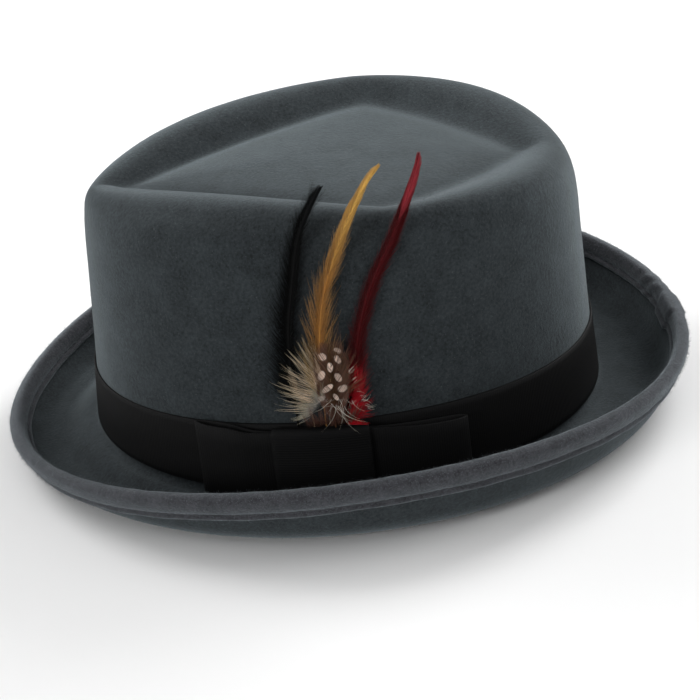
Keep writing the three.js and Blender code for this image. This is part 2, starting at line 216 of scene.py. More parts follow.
@dataclass
class Skin:
    """A mesh made of rows of points, in millimetres.

    Attributes:
        name: The name of the object.
        grid: Points, shape (rows, columns, 3).
        rows_close: Whether the last row joins the first.
        columns_close: Whether the last column joins the first.
        poles: Points that close the first and the last row, or none.
        uv: The UV map in metres, shape (rows + 1, columns + 1, 2), or none.
    """

    name: str
    grid: np.ndarray
    rows_close: bool = False
    columns_close: bool = True
    poles: tuple[np.ndarray, ...] = ()
    uv: np.ndarray | None = None

    def build(self, material: Material) -> Object:
        """Makes the object, with its faces pointing outward.

        Args:
            material: The finish.

        Returns:
            The object.
        """
        rows, columns = self.grid.shape[:2]
        row = np.arange(rows if self.rows_close else rows - 1)
        column = np.arange(columns if self.columns_close else columns - 1)
        r, c = (part.ravel() for part in np.meshgrid(row, column, indexing="ij"))
        this, following, c_next = r * columns, (r + 1) % rows * columns, (c + 1) % columns
        quads = np.stack([this + c, this + c_next, following + c_next, following + c], 1)
        round_face = [(r, c), (r, c + 1), (r + 1, c + 1), (r + 1, c)]
        corners = np.stack([np.stack(corner, 1) for corner in round_face], 1)
        points = self.grid.reshape(-1, 3)
        faces = quads.tolist()
        for pole, start in zip(self.poles, (0, rows - 1)):
            points = np.vstack([points, pole])
            ring = [start * columns + i for i in range(columns)]
            pairs = zip(ring, ring[1:] + ring[:1])
            apex = len(points) - 1
            faces += [[apex, b, a] if start == 0 else [apex, a, b] for a, b in pairs]
        if self._volume(points, faces) < 0:
            faces = [face[::-1] for face in faces]
            corners = corners[:, ::-1]
        mesh = bpy.data.meshes.new(self.name)
        mesh.from_pydata((points * MM).tolist(), [], faces)
        mesh.polygons.foreach_set("use_smooth", [True] * len(faces))
        if self.uv is not None:
            layer = mesh.uv_layers.new(name="ribbon")
            flat = self.uv[corners[:, :, 0], corners[:, :, 1]].reshape(-1, 2)
            layer.data.foreach_set("uv", flat.ravel())
        mesh.materials.append(material)
        mesh.update()
        return link(self.name, mesh)

    @staticmethod
    def _volume(points: np.ndarray, faces: list[list[int]]) -> float:
        """The signed volume inside a closed set of faces.

        Args:
            points: The points.
            faces: The faces, as numbers of points.

        Returns:
            The volume in cubic millimetres, below zero where the faces point inward.
        """
        fans = [(face[0], face[i], face[i + 1]) for face in faces for i in range(1, len(face) - 1)]
        a, b, c = (points[list(corner)] for corner in zip(*fans))
        return float(np.einsum("ij,ij->i", a, np.cross(b, c)).sum() / 6)


# Node trees


def add_node(tree: NodeTree, kind: str, settings: dict | None = None, links: dict | None = None,
             stops: list[tuple[float, str]] | None = None) -> Node:
    """Adds a node to a tree.

    Args:
        tree: The tree.
        kind: The node's type.
        settings: Values of the node's own properties.
        links: Input sockets by name or number, each with an output socket, with a node whose first output
            it takes, or with a plain value.
        stops: The positions and sRGB hex colours of a ramp, where the node has one.

    Returns:
        The node.
    """
    node = tree.nodes.new(kind)
    if stops:
        elements = node.color_ramp.elements
        while len(elements) < len(stops):
            elements.new(0.5)
        for element, (position, colour) in zip(elements, stops):
            element.position = position
            element.color = linear(colour)
    for name, value in (settings or {}).items():
        setattr(node, name, value)
    for name, value in (links or {}).items():
        socket = node.inputs[name]
        if isinstance(value, Node):
            value = value.outputs[0]
        if isinstance(value, NodeSocket):
            tree.links.new(value, socket)
        else:
            socket.default_value = value
    return node


def linear(colour: str) -> tuple[float, float, float, float]:
    """Turns an sRGB hex value to linear.

    Args:
        colour: The colour, such as "#3b4448".

    Returns:
        Red, green, blue and alpha.
    """
    parts = [int(colour[i:i + 2], 16) / 255 for i in (1, 3, 5)]
    red, green, blue = (p / 12.92 if p <= 0.04045 else ((p + 0.055) / 1.055) ** 2.4 for p in parts)
    return red, green, blue, 1.0


def new_material(name: str, values: dict[str, object]) -> tuple[Material, NodeTree, Node]:
    """Makes a material with one principled shader.

    Args:
        name: The name of the real material.
        values: The shader's plain inputs by name.

    Returns:
        The material, its tree and its shader.
    """
    material = bpy.data.materials.new(name)
    material.use_nodes = True
    shader = material.node_tree.nodes["Principled BSDF"]
    for label, value in values.items():
        shader.inputs[label].default_value = value
    return material, material.node_tree, shader


# Finishes


@dataclass(frozen=True)
class WoolFelt:
    """Blocked wool felt: fulled fibres with no weave, matt, and paler where its short nap is seen edge on.

    Attributes:
        name: The name of the material.
        dark: The colour between the fibres, painted shade where the fine relief is low.
        light: The colour of the fibre tips, painted light where the fine relief is high.
        fleck: The size of the fine mottling in mm. Real fibres are 0.02 mm, too fine to show, so this is a
            clump of them.
        cloud: The size of the soft patches in mm.
        tangle: The size in mm of the tangle of long fibres, which show as pale threads a tenth of a mm wide.
        depth: The height of the surface's relief in mm.
        sheen: The strength of the nap's edge light.
    """

    name: str
    dark: str
    light: str
    fleck: float = 1.2
    cloud: float = 9.0
    tangle: float = 2.2
    depth: float = 0.3
    sheen: float = 0.65

    def make(self) -> Material:
        """Builds the material.

        Returns:
            The material.
        """
        material, tree, shader = new_material(self.name, {
            "Roughness": 0.95, "Specular IOR Level": 0.2, "Sheen Weight": self.sheen, "Sheen Roughness": 0.45,
            "Sheen Tint": linear("#aab6bb")})
        at = add_node(tree, "ShaderNodeTexCoord").outputs["Object"]
        fine = add_node(tree, "ShaderNodeTexNoise", links={
            "Vector": at, "Scale": 1 / (self.fleck * MM), "Detail": 4.0, "Roughness": 0.75})
        patch = add_node(tree, "ShaderNodeTexNoise", links={
            "Vector": at, "Scale": 1 / (self.cloud * MM), "Detail": 3.0, "Roughness": 0.55})
        # The mottling is partly random tone and partly painted shade, as its dark spots are the low spots of
        # the bump below
        both = add_node(tree, "ShaderNodeMix", {"data_type": "FLOAT"}, {0: 0.3, 2: fine, 3: patch})
        colour = add_node(tree, "ShaderNodeValToRGB", links={"Fac": both},
                          stops=[(0.33, self.dark), (0.67, self.light)])
        # Long fibres lie in every direction, paler than the ground and a little raised
        tangle = add_node(tree, "ShaderNodeTexNoise", {"noise_type": "RIDGED_MULTIFRACTAL"}, {
            "Vector": at, "Scale": 1 / (self.tangle * MM), "Detail": 5.0, "Roughness": 0.7})
        thread = add_node(tree, "ShaderNodeMapRange", links={0: tangle, 1: 0.9, 2: 2.2, 3: 0.0, 4: 0.16})
        threaded = add_node(tree, "ShaderNodeMix", {"data_type": "RGBA", "blend_type": "SCREEN"},
                            {0: thread, 6: colour, 7: linear(self.light)}).outputs[2]
        tree.links.new(threaded, shader.inputs["Base Color"])
        relief = add_node(tree, "ShaderNodeMath", {"operation": "MULTIPLY_ADD"},
                          {0: tangle, 1: 0.25, 2: fine})
        bump = add_node(tree, "ShaderNodeBump", links={
            "Strength": 0.7, "Distance": self.depth * MM, "Height": relief})
        tree.links.new(bump.outputs[0], shader.inputs["Normal"])
        return material


@dataclass(frozen=True)
class Grosgrain:
    """Black grosgrain ribbon: close upright ribs of a heavier weft, with a faint gleam along each rib.

    Attributes:
        name: The name of the material.
        across: The axis of the UV map that crosses the ribs.
        colour: The colour of the yarn on a rib, whose crown carries a painted highlight.
        groove: The colour between the ribs, painted shade.
        pitch: The distance between ribs in mm. Real ones are 0.6 mm apart, and these are drawn a little
            coarser so that they show.
        depth: The height of a rib in mm.
        yarn: The size of the yarn's unevenness in mm.
    """

    name: str
    across: RibRun = RibRun.UPRIGHT
    colour: str = "#0d0d0e"
    groove: str = "#040404"
    pitch: float = 0.85
    depth: float = 0.09
    yarn: float = 0.5

    def make(self) -> Material:
        """Builds the material.

        Returns:
            The material.
        """
        material, tree, shader = new_material(self.name, {"Roughness": 0.7, "Specular IOR Level": 0.14})
        at = add_node(tree, "ShaderNodeUVMap", {"uv_map": "ribbon"})
        place = add_node(tree, "ShaderNodeSeparateXYZ", links={0: at}).outputs[self.across.value]
        turn = add_node(tree, "ShaderNodeMath", {"operation": "MULTIPLY"},
                        {0: place, 1: 2 * math.pi / (self.pitch * MM)})
        rib = add_node(tree, "ShaderNodeMath", {"operation": "COSINE"}, {0: turn})
        crown = add_node(tree, "ShaderNodeMapRange", links={0: rib, 1: -1.0, 2: 1.0, 3: 0.0, 4: 1.0})
        yarn = add_node(tree, "ShaderNodeTexNoise", links={
            "Vector": at, "Scale": 1 / (self.yarn * MM), "Detail": 3.0, "Roughness": 0.6})
        shade = add_node(tree, "ShaderNodeMath", {"operation": "MULTIPLY_ADD"}, {0: yarn, 1: 0.5, 2: crown})
        # The ramp paints shade between the ribs and a highlight on their crowns, over the yarn's own
        # unevenness
        colour = add_node(tree, "ShaderNodeValToRGB", links={"Fac": shade},
                          stops=[(0.15, self.groove), (1.0, self.colour)])
        tree.links.new(colour.outputs[0], shader.inputs["Base Color"])
        bump = add_node(tree, "ShaderNodeBump", links={
            "Strength": 0.6, "Distance": self.depth * MM, "Height": shade})
        tree.links.new(bump.outputs[0], shader.inputs["Normal"])
        return material


@dataclass(frozen=True)
class DyedBarbs:
    """Dyed hackle: keratin barbs with a soft gleam, each darkened by chance so that single ones show.

    Attributes:
        name: The name of the material.
        root: The colour near the quill's foot.
        body: The colour over the length of the feather, on the red one partly painted shade.
        tip: The colour of the feather's tip, on the red and the gold ones partly painted light.
        fringe: The colour of the barbs' ends.
        fringe_share: How much of that colour the ends take.
        gleam: The strength of the barbs' highlights.
        turns: Where along the feather the root's colour ends, the body's begins and ends, and the tip's
            begins.
        shadow: The colour that a dark barb is multiplied by.
    """

    name: str
    root: str
    body: str
    tip: str
    fringe: str
    fringe_share: float = 0.3
    gleam: float = 0.35
    turns: tuple[float, float, float, float] = (0.0, 0.3, 0.75, 1.0)
    shadow: str = "#1a1210"

    def ground(self, tree: NodeTree) -> NodeSocket:
        """Adds the nodes that give the colour along the feather and along each barb.

        Args:
            tree: The material's tree.

        Returns:
            The colour.
        """
        station = add_node(tree, "ShaderNodeAttribute", {"attribute_name": "station"}).outputs["Fac"]
        share = add_node(tree, "ShaderNodeAttribute", {"attribute_name": "barb_share"}).outputs["Fac"]
        along = add_node(tree, "ShaderNodeValToRGB", links={"Fac": station}, stops=list(
            zip(self.turns, (self.root, self.body, self.body, self.tip))))
        ends = add_node(tree, "ShaderNodeMath", {"operation": "MULTIPLY"}, {0: share, 1: self.fringe_share})
        return add_node(tree, "ShaderNodeMix", {"data_type": "RGBA"},
                        {0: ends, 6: along, 7: linear(self.fringe)}).outputs[2]

    def make(self) -> Material:
        """Builds the material.

        Returns:
            The material.
        """
        material, tree, shader = new_material(self.name, {
            "Roughness": 0.5, "Specular IOR Level": self.gleam, "Sheen Weight": self.gleam * 0.4,
            "Sheen Roughness": 0.5})
        tint = add_node(tree, "ShaderNodeAttribute", {"attribute_name": "tint"}).outputs["Fac"]
        deep = add_node(tree, "ShaderNodeMapRange", links={0: tint, 1: 0.0, 2: 1.0, 3: 0.5, 4: 0.0})
        barbs = add_node(tree, "ShaderNodeMix", {"data_type": "RGBA", "blend_type": "MULTIPLY"},
                         {0: deep, 6: self.ground(tree), 7: linear(self.shadow)}).outputs[2]
        tree.links.new(barbs, shader.inputs["Base Color"])
        return material


@dataclass(frozen=True)
class SpottedBarbs(DyedBarbs):
    """Guinea-fowl plumage: dark barbs that pass through pale oval spots, where a few of them stay dark.

    Attributes:
        spot: The colour of the spots.
        plane: How far the feather lies from the hat's middle, in mm.
        spots: Each spot's place along the hat and height, its half length and half width in mm, and the
            degrees by which it leans.
    """

    spot: str = "#f4dccc"
    plane: float = 90.0
    spots: tuple[tuple[float, float, float, float, float], ...] = (
        (-8.4, 64.2, 1.7, 1.3, 60), (-2.5, 66.2, 1.4, 0.8, 70), (-2.8, 62.8, 1.6, 1.1, 30),
        (-5.9, 60.0, 1.8, 1.1, 0), (-9.5, 57.3, 1.9, 1.3, -30), (-3.4, 56.1, 1.8, 1.2, 25),
        (1.8, 58.8, 1.6, 0.9, -35), (-7.8, 52.2, 2.4, 1.1, -60), (-2.2, 51.7, 1.9, 1.3, -70),
        (-11.0, 48.6, 1.9, 1.0, -75), (-5.1, 48.6, 1.5, 0.8, 30), (1.6, 46.4, 1.6, 1.1, 60),
        (-12.6, 54.4, 1.2, 0.8, -40), (2.6, 55.0, 1.2, 0.8, -30),
    )

    def ground(self, tree: NodeTree) -> NodeSocket:
        """Adds the spots to the colour of the barbs.

        Args:
            tree: The material's tree.

        Returns:
            The colour.
        """
        under = super().ground(tree)
        at = add_node(tree, "ShaderNodeTexCoord").outputs["Object"]
        nearest = None
        for along, height, long, wide, lean in self.spots:
            local = add_node(tree, "ShaderNodeMapping", {"vector_type": "TEXTURE"}, {
                "Vector": at, "Location": (self.plane * MM, along * MM, height * MM),
                "Rotation": (math.radians(lean), 0, 0), "Scale": (1, wide * MM, long * MM)})
            reach = add_node(tree, "ShaderNodeVectorMath", {"operation": "LENGTH"},
                             {0: local}).outputs["Value"]
            if nearest is not None:
                reach = add_node(tree, "ShaderNodeMath", {"operation": "MINIMUM"}, {0: nearest, 1: reach})
            nearest = reach
        tint = add_node(tree, "ShaderNodeAttribute", {"attribute_name": "tint"}).outputs["Fac"]
        streak = add_node(tree, "ShaderNodeMapRange", links={0: tint, 1: 0.05, 2: 0.5, 3: 0.25, 4: 1.0})
        inside = add_node(tree, "ShaderNodeMapRange", links={0: nearest, 1: 1.1, 2: 0.85, 3: 0.0, 4: streak})
        return add_node(tree, "ShaderNodeMix", {"data_type": "RGBA"},
                        {0: inside, 6: under, 7: linear(self.spot)}).outputs[2]


@dataclass(frozen=True)
class Quill:
    """Keratin shaft: smooth and of one colour, with a faint highlight along it.

    Attributes:
        name: The name of the material.
        shade: The colour.
        gleam: The strength of the highlight.
    """

    name: str
    shade: str
    gleam: float = 0.05

    def make(self) -> Material:
        """Builds the material."""
        return new_material(self.name, {
            "Base Color": linear(self.shade), "Roughness": 0.45, "Specular IOR Level": self.gleam})[0]


@dataclass(frozen=True)
class PaperSweep:
    """Matt white paper, as a studio's sweep, which gives no highlight at all.

    Attributes:
        name: The name of the material.
        shade: The colour.
    """

    name: str = "matt_white_paper"
    shade: str = "#f6f6f6"

    def make(self) -> Material:
        """Builds the material."""
        return new_material(self.name, {
            "Base Color": linear(self.shade), "Roughness": 1.0, "Specular IOR Level": 0.0})[0]


# Form of the hat


@dataclass(frozen=True)
class Ring:
    """A ring section of the crown or of the brim's edge, in mm.

    Attributes:
        front: The distance from the middle to the front.
        back: The distance from the middle to the back.
        side: The distance from the middle to each side.
        corner: How far the side corners lie behind the middle.
        front_curve: The superellipse exponent of the front half.
        back_curve: The superellipse exponent of the back half.
        z_front: The height at the front.
        z_side: The height at the sides.
        z_back: The height at the back.
        swell_front: Extra height halfway between the front and a side corner.
        swell_back: Extra height halfway between the back and a side corner.
    """

    front: float
    back: float
    side: float
    corner: float
    front_curve: float
    back_curve: float
    z_front: float
    z_side: float
    z_back: float
    swell_front: float = 0.0
    swell_back: float = 0.0

    def at(self, angle: np.ndarray) -> np.ndarray:
        """Points of the ring.

        Args:
            angle: Angles in radians from the back (0) to the front (pi).

        Returns:
            The points, shape (angles, 3).
        """
        c, s = np.cos(angle), np.sin(angle)
        behind = c > 0
        power = 2 / np.where(behind, self.back_curve, self.front_curve)
        reach = np.where(behind, self.back - self.corner, self.front + self.corner)
        swell = np.where(behind, self.swell_back, self.swell_front) * (2 * s * c) ** 2
        return np.stack([
            self.side * signed_power(s, power),
            self.corner + reach * signed_power(c, power),
            around_hat(self.z_front, self.z_side, self.z_back, angle) + swell,
        ], axis=1)


# The crown's rings lead from its foot up the wall, over the crest and down into the tip's dent
FOOT = Ring(101.7, 101.7, 86.7, 0, 2, 2, 10, 7.8, 5.4)
CROWN = (
    FOOT,
    Ring(99.2, 100.3, 84.5, 1, 2, 2, 39, 36.5, 34),
    Ring(97, 99.5, 80, 6, 1.95, 1.95, 69, 68.5, 64),
    Ring(94.8, 98.2, 76.4, 14.5, 1.85, 1.92, 95.8, 100.2, 91.2, 5, 3),
    Ring(92.8, 95, 73.8, 17.5, 1.6, 1.9, 103.6, 107.9, 99.4, 4.5, 3),
    Ring(87.8, 88.4, 66.9, 20.5, 1.22, 1.62, 108.4, 114.8, 104.4, 4.5, 1),
    Ring(78.5, 79, 55, 20.5, 1.12, 1.22, 104, 106.2, 98.8),
    Ring(63.5, 66.5, 43, 18.5, 1.2, 1.26, 105.8, 107.6, 101.9),
    Ring(19.5, 26.5, 14, 12.5, 1.5, 1.5, 109, 108.8, 107.9),
)
TIP_CENTRE = np.array([0, 8.5, 108.9])


@dataclass(frozen=True)
class HatForm:
    """The felt's form in mm and degrees: the crown's rings, and a brim that slopes to a trough and curls up.

    Attributes:
        felt: The thickness of the felt.
        crown: The crown's rings, from its foot to the tip.
        brim_edge: The ring of the brim's edge.
        curl_radius: The radius of the brim's curl.
        curl_front: How far the brim turns up at the front.
        curl_side: The same at the sides.
        curl_back: The same at the back.
        trough: The width of the trough, on which the hat rests.
        trough_lift: How far the trough rises at the sides.
        level_sector: The sine of the angle from front and back within which the trough stays level.
        break_radius: The radius of the bend between the crown and the brim.
        break_rows: How many rows make that bend.
        slope_rows: How many rows make the slope down to the trough.
        curl_rows: How many rows make the curl.
        lip_rows: How many rows make the straight lip beyond it.
    """

    felt: float = 2.0
    crown: tuple[Ring, ...] = CROWN
    brim_edge: Ring = Ring(136, 136.5, 121.5, 0, 1.95, 2.05, 12.8, 30.3, 21.2)
    curl_radius: float = 11.0
    curl_front: float = 60.0
    curl_side: float = 75.0
    curl_back: float = 65.0
    trough: float = 5.0
    trough_lift: float = 1.5
    level_sector: float = 0.5
    break_radius: float = 3.4
    break_rows: int = 6
    slope_rows: int = 10
    curl_rows: int = 14
    lip_rows: int = 6

    def crown_at(self, angle: np.ndarray, share: np.ndarray) -> np.ndarray:
        """Points of the crown's outer face.

        Args:
            angle: Angles round the hat in radians.
            share: Places up each section, from the foot (0) to the centre of the tip (1).

        Returns:
            The points, shape (shares, angles, 3).
        """
        tip = np.broadcast_to(TIP_CENTRE, (len(angle), 3))
        return through_knots(np.stack([ring.at(angle) for ring in self.crown] + [tip]), share)

    def curl(self, angle: np.ndarray) -> dict[str, np.ndarray]:
        """How the brim curls at each angle.

        Args:
            angle: Angles round the hat in radians.

        Returns:
            The foot point, the outward direction, the trough's height, the turn of the arc, the length of
            the lip and how far from the foot the trough ends, by name.
        """
        foot, edge = self.crown[0].at(angle), self.brim_edge.at(angle)
        outward = (edge - foot) * [1, 1, 0]
        run = np.linalg.norm(outward, axis=1)
        sideways = (np.sin(angle) ** 2 - self.level_sector ** 2) / (1 - self.level_sector ** 2)
        low = self.felt + self.trough_lift * np.maximum(sideways, 0)
        turn = np.radians(around_hat(self.curl_front, self.curl_side, self.curl_back, angle))
        lip = (edge[:, 2] - low - self.curl_radius * (1 - np.cos(turn))) / np.sin(turn)
        end = run - self.curl_radius * np.sin(turn) - lip * np.cos(turn)
        outward /= run[:, None]
        return {"foot": foot, "outward": outward, "low": low, "turn": turn, "lip": lip, "end": end}

    def brim_at(self, angle: np.ndarray, from_edge: np.ndarray) -> tuple[np.ndarray, np.ndarray]:
        """Points of the brim's upper face on its curl, and their normals.

        Args:
            angle: Angles round the hat in radians.
            from_edge: Distances from the edge, measured along the felt.

        Returns:
            Points and unit normals, each of shape (angles, 3).
        """
        k = self.curl(angle)
        bend = k["turn"] - np.maximum(from_edge - k["lip"], 0) / self.curl_radius
        on_lip = np.maximum(k["lip"] - from_edge, 0)
        distance = k["end"] + self.curl_radius * np.sin(bend) + on_lip * np.cos(k["turn"])
        height = k["low"] + self.curl_radius * (1 - np.cos(bend)) + on_lip * np.sin(k["turn"])
        point = k["foot"] * [1, 1, 0] + k["outward"] * distance[:, None] + height[:, None] * [0, 0, 1]
        normal = np.cos(bend)[:, None] * [0, 0, 1] - k["outward"] * np.sin(bend)[:, None]
        return point, normal

    def brim_rows(self, angle: np.ndarray, stop: float) -> np.ndarray:
        """Rows of the brim's upper face, from just outside the foot to the felt's edge.

        Args:
            angle: Angles round the hat in radians.
            stop: How far short of the edge ring the felt ends.

        Returns:
            The rows, shape (rows, angles, 3).
        """
        k = self.curl(angle)
        ground = k["foot"] * [1, 1, 0]
        up = np.array([0, 0, 1])

        def at(distance: np.ndarray, height: np.ndarray) -> np.ndarray:
            """A row at a distance from the foot and a height."""
            return ground + k["outward"] * distance[:, None] + height[:, None] * up

        foot_z = k["foot"][:, 2]
        rows = []
        for a in np.linspace(0, math.pi / 2, self.break_rows + 1)[1:]:
            rows.append(at(np.full_like(foot_z, self.break_radius * (1 - math.cos(a))),
                           foot_z - self.break_radius * math.sin(a)))
        for share in np.linspace(0, 1, self.slope_rows + 1)[1:]:
            ease = share * share * (3 - 2 * share)
            far = k["end"] - self.trough
            rows.append(at(self.break_radius + (far - self.break_radius) * share,
                           (foot_z - self.break_radius) * (1 - ease) + k["low"] * ease))
        for share in (0.33, 0.67, 1.0):
            rows.append(at(k["end"] - self.trough * (1 - share), k["low"]))
        for share in np.linspace(0, 1, self.curl_rows + 1)[1:]:
            rows.append(self.brim_at(angle, k["lip"] + self.curl_radius * k["turn"] * (1 - share))[0])
        for share in np.linspace(0, 1, self.lip_rows + 1)[1:]:
            rows.append(self.brim_at(angle, k["lip"] + (stop - k["lip"]) * share)[0])
        return np.stack(rows)


@dataclass
class LeftWall:
    """The crown's wall on the wearer's left, as a surface that trims are laid on.

    Attributes:
        form: The hat's form.
        straight_above: Above this height trims stand on the wall carried on as a straight line, in mm.
        step: The distance over which slopes are measured, in mm.
        spans: How many of the spans between rings the wall takes up.
        samples: How many points a section of the wall is read at.
        angles: The angles of the table, from the back round the left side to the front.
        heights: The heights of the table in mm.
    """

    form: HatForm
    straight_above: float = 84.0
    step: float = 4.0
    spans: int = 5
    samples: int = 500
    angles: np.ndarray = field(default_factory=lambda: np.linspace(0, math.pi, 361))
    heights: np.ndarray = field(default_factory=lambda: np.arange(6.0, 96.0, 1.0))

    def __post_init__(self) -> None:
        """Tabulates the wall by height and angle."""
        share = np.linspace(0, self.spans / len(self.form.crown), self.samples)
        curve = self.form.crown_at(self.angles, share)
        self.table = np.zeros((len(self.heights), len(self.angles), 2))
        for i in range(len(self.angles)):
            for axis in (0, 1):
                self.table[:, i, axis] = np.interp(self.heights, curve[:, i, 2], curve[:, i, axis])

    def on_wall(self, y: float, height: float) -> np.ndarray:
        """Finds a point of the wall.

        Args:
            y: The place along the hat.
            height: The height.

        Returns:
            The point.
        """
        # The last row but one is the highest that has a row over it
        row = np.clip(height - self.heights[0], 0, len(self.heights) - 1.001)
        low = int(row)
        line = self.table[low] * (1 - row + low) + self.table[low + 1] * (row - low)
        return np.array([np.interp(-y, -line[:, 1], line[:, 0]), y, height])

    def outward(self, y: float, height: float) -> np.ndarray:
        """Finds the level direction that points away from the wall.

        Args:
            y: The place along the hat.
            height: The height.

        Returns:
            The unit direction.
        """
        before, after = self.on_wall(y - self.step, height), self.on_wall(y + self.step, height)
        normal = np.array([after[1] - before[1], before[0] - after[0], 0])
        return normal / np.linalg.norm(normal)

    def place(self, y: float, height: float, away: float) -> np.ndarray:
        """A point that stands off the wall.

        Args:
            y: The place along the hat.
            height: The height.
            away: The distance from the wall.

        Returns:
            The point.
        """
        base = float(np.clip(height, self.form.crown[0].z_side + self.step, self.straight_above))
        point = self.on_wall(y, base)
        rise = (point - self.on_wall(y, base - self.step)) / self.step
        return point + self.outward(y, base) * away + rise * (height - base)


# Felt cap and binding


@dataclass
class FeltCap:
    """Crown and brim, blocked from one piece of felt.

    Attributes:
        form: The hat's form.
        columns: How many columns run round the hat.
        rows_each: How many rows lie from one ring of the crown to the next.
        stop: How far short of the edge ring the felt ends, in mm.
        corner_spread: How many columns wide the rounding of the corners is, by the ring's number.
        crest_soft: How strongly the section is rounded, by the ring's number.
        rounds: How often that rounding is done.
    """

    form: HatForm
    columns: int = 256
    rows_each: int = 8
    stop: float = 1.5
    corner_spread: tuple[tuple[float, float], ...] = (
        (0, 0), (3, 0), (4.5, 1.6), (5.5, 2.6), (6.5, 4.5), (7.5, 9), (9, 16))
    crest_soft: tuple[tuple[float, float], ...] = (
        (4.2, 0), (4.9, 1), (5.6, 1), (6.1, 0.3), (8.2, 0.3), (8.8, 0))
    rounds: int = 32

    def build(self, material: Material) -> Object:
        """Makes the cap as one closed wall.

        Args:
            material: The felt.

        Returns:
            The piece.
        """
        angle = full_turn(self.columns)
        count = len(self.form.crown) * self.rows_each
        share = (np.arange(count - 1) / count)[::-1]
        crown = self.form.crown_at(angle, share)
        ring = share * len(self.form.crown)
        # The corners of the diamond are rounded as pressed felt is, more toward the tip's middle
        crown = round_smooth(crown, np.interp(ring, *zip(*self.corner_spread)))
        # The crest is rounder than the crease between the rim and the tip
        soft = np.interp(ring, *zip(*self.crest_soft))[:, None, None]
        for _ in range(self.rounds):
            crown[1:-1] += soft[1:-1] * 0.25 * (crown[2:] - 2 * crown[1:-1] + crown[:-2])
        upper = np.concatenate([crown, self.form.brim_rows(angle, self.stop)])
        under = upper - grid_normals(upper) * self.form.felt
        poles = (TIP_CENTRE, TIP_CENTRE - [0, 0, self.form.felt])
        piece = Skin("felt_cap", np.concatenate([upper, under[::-1]]), poles=poles).build(material)
        dress(piece, Slot.FELT, "felt_body")
        return piece


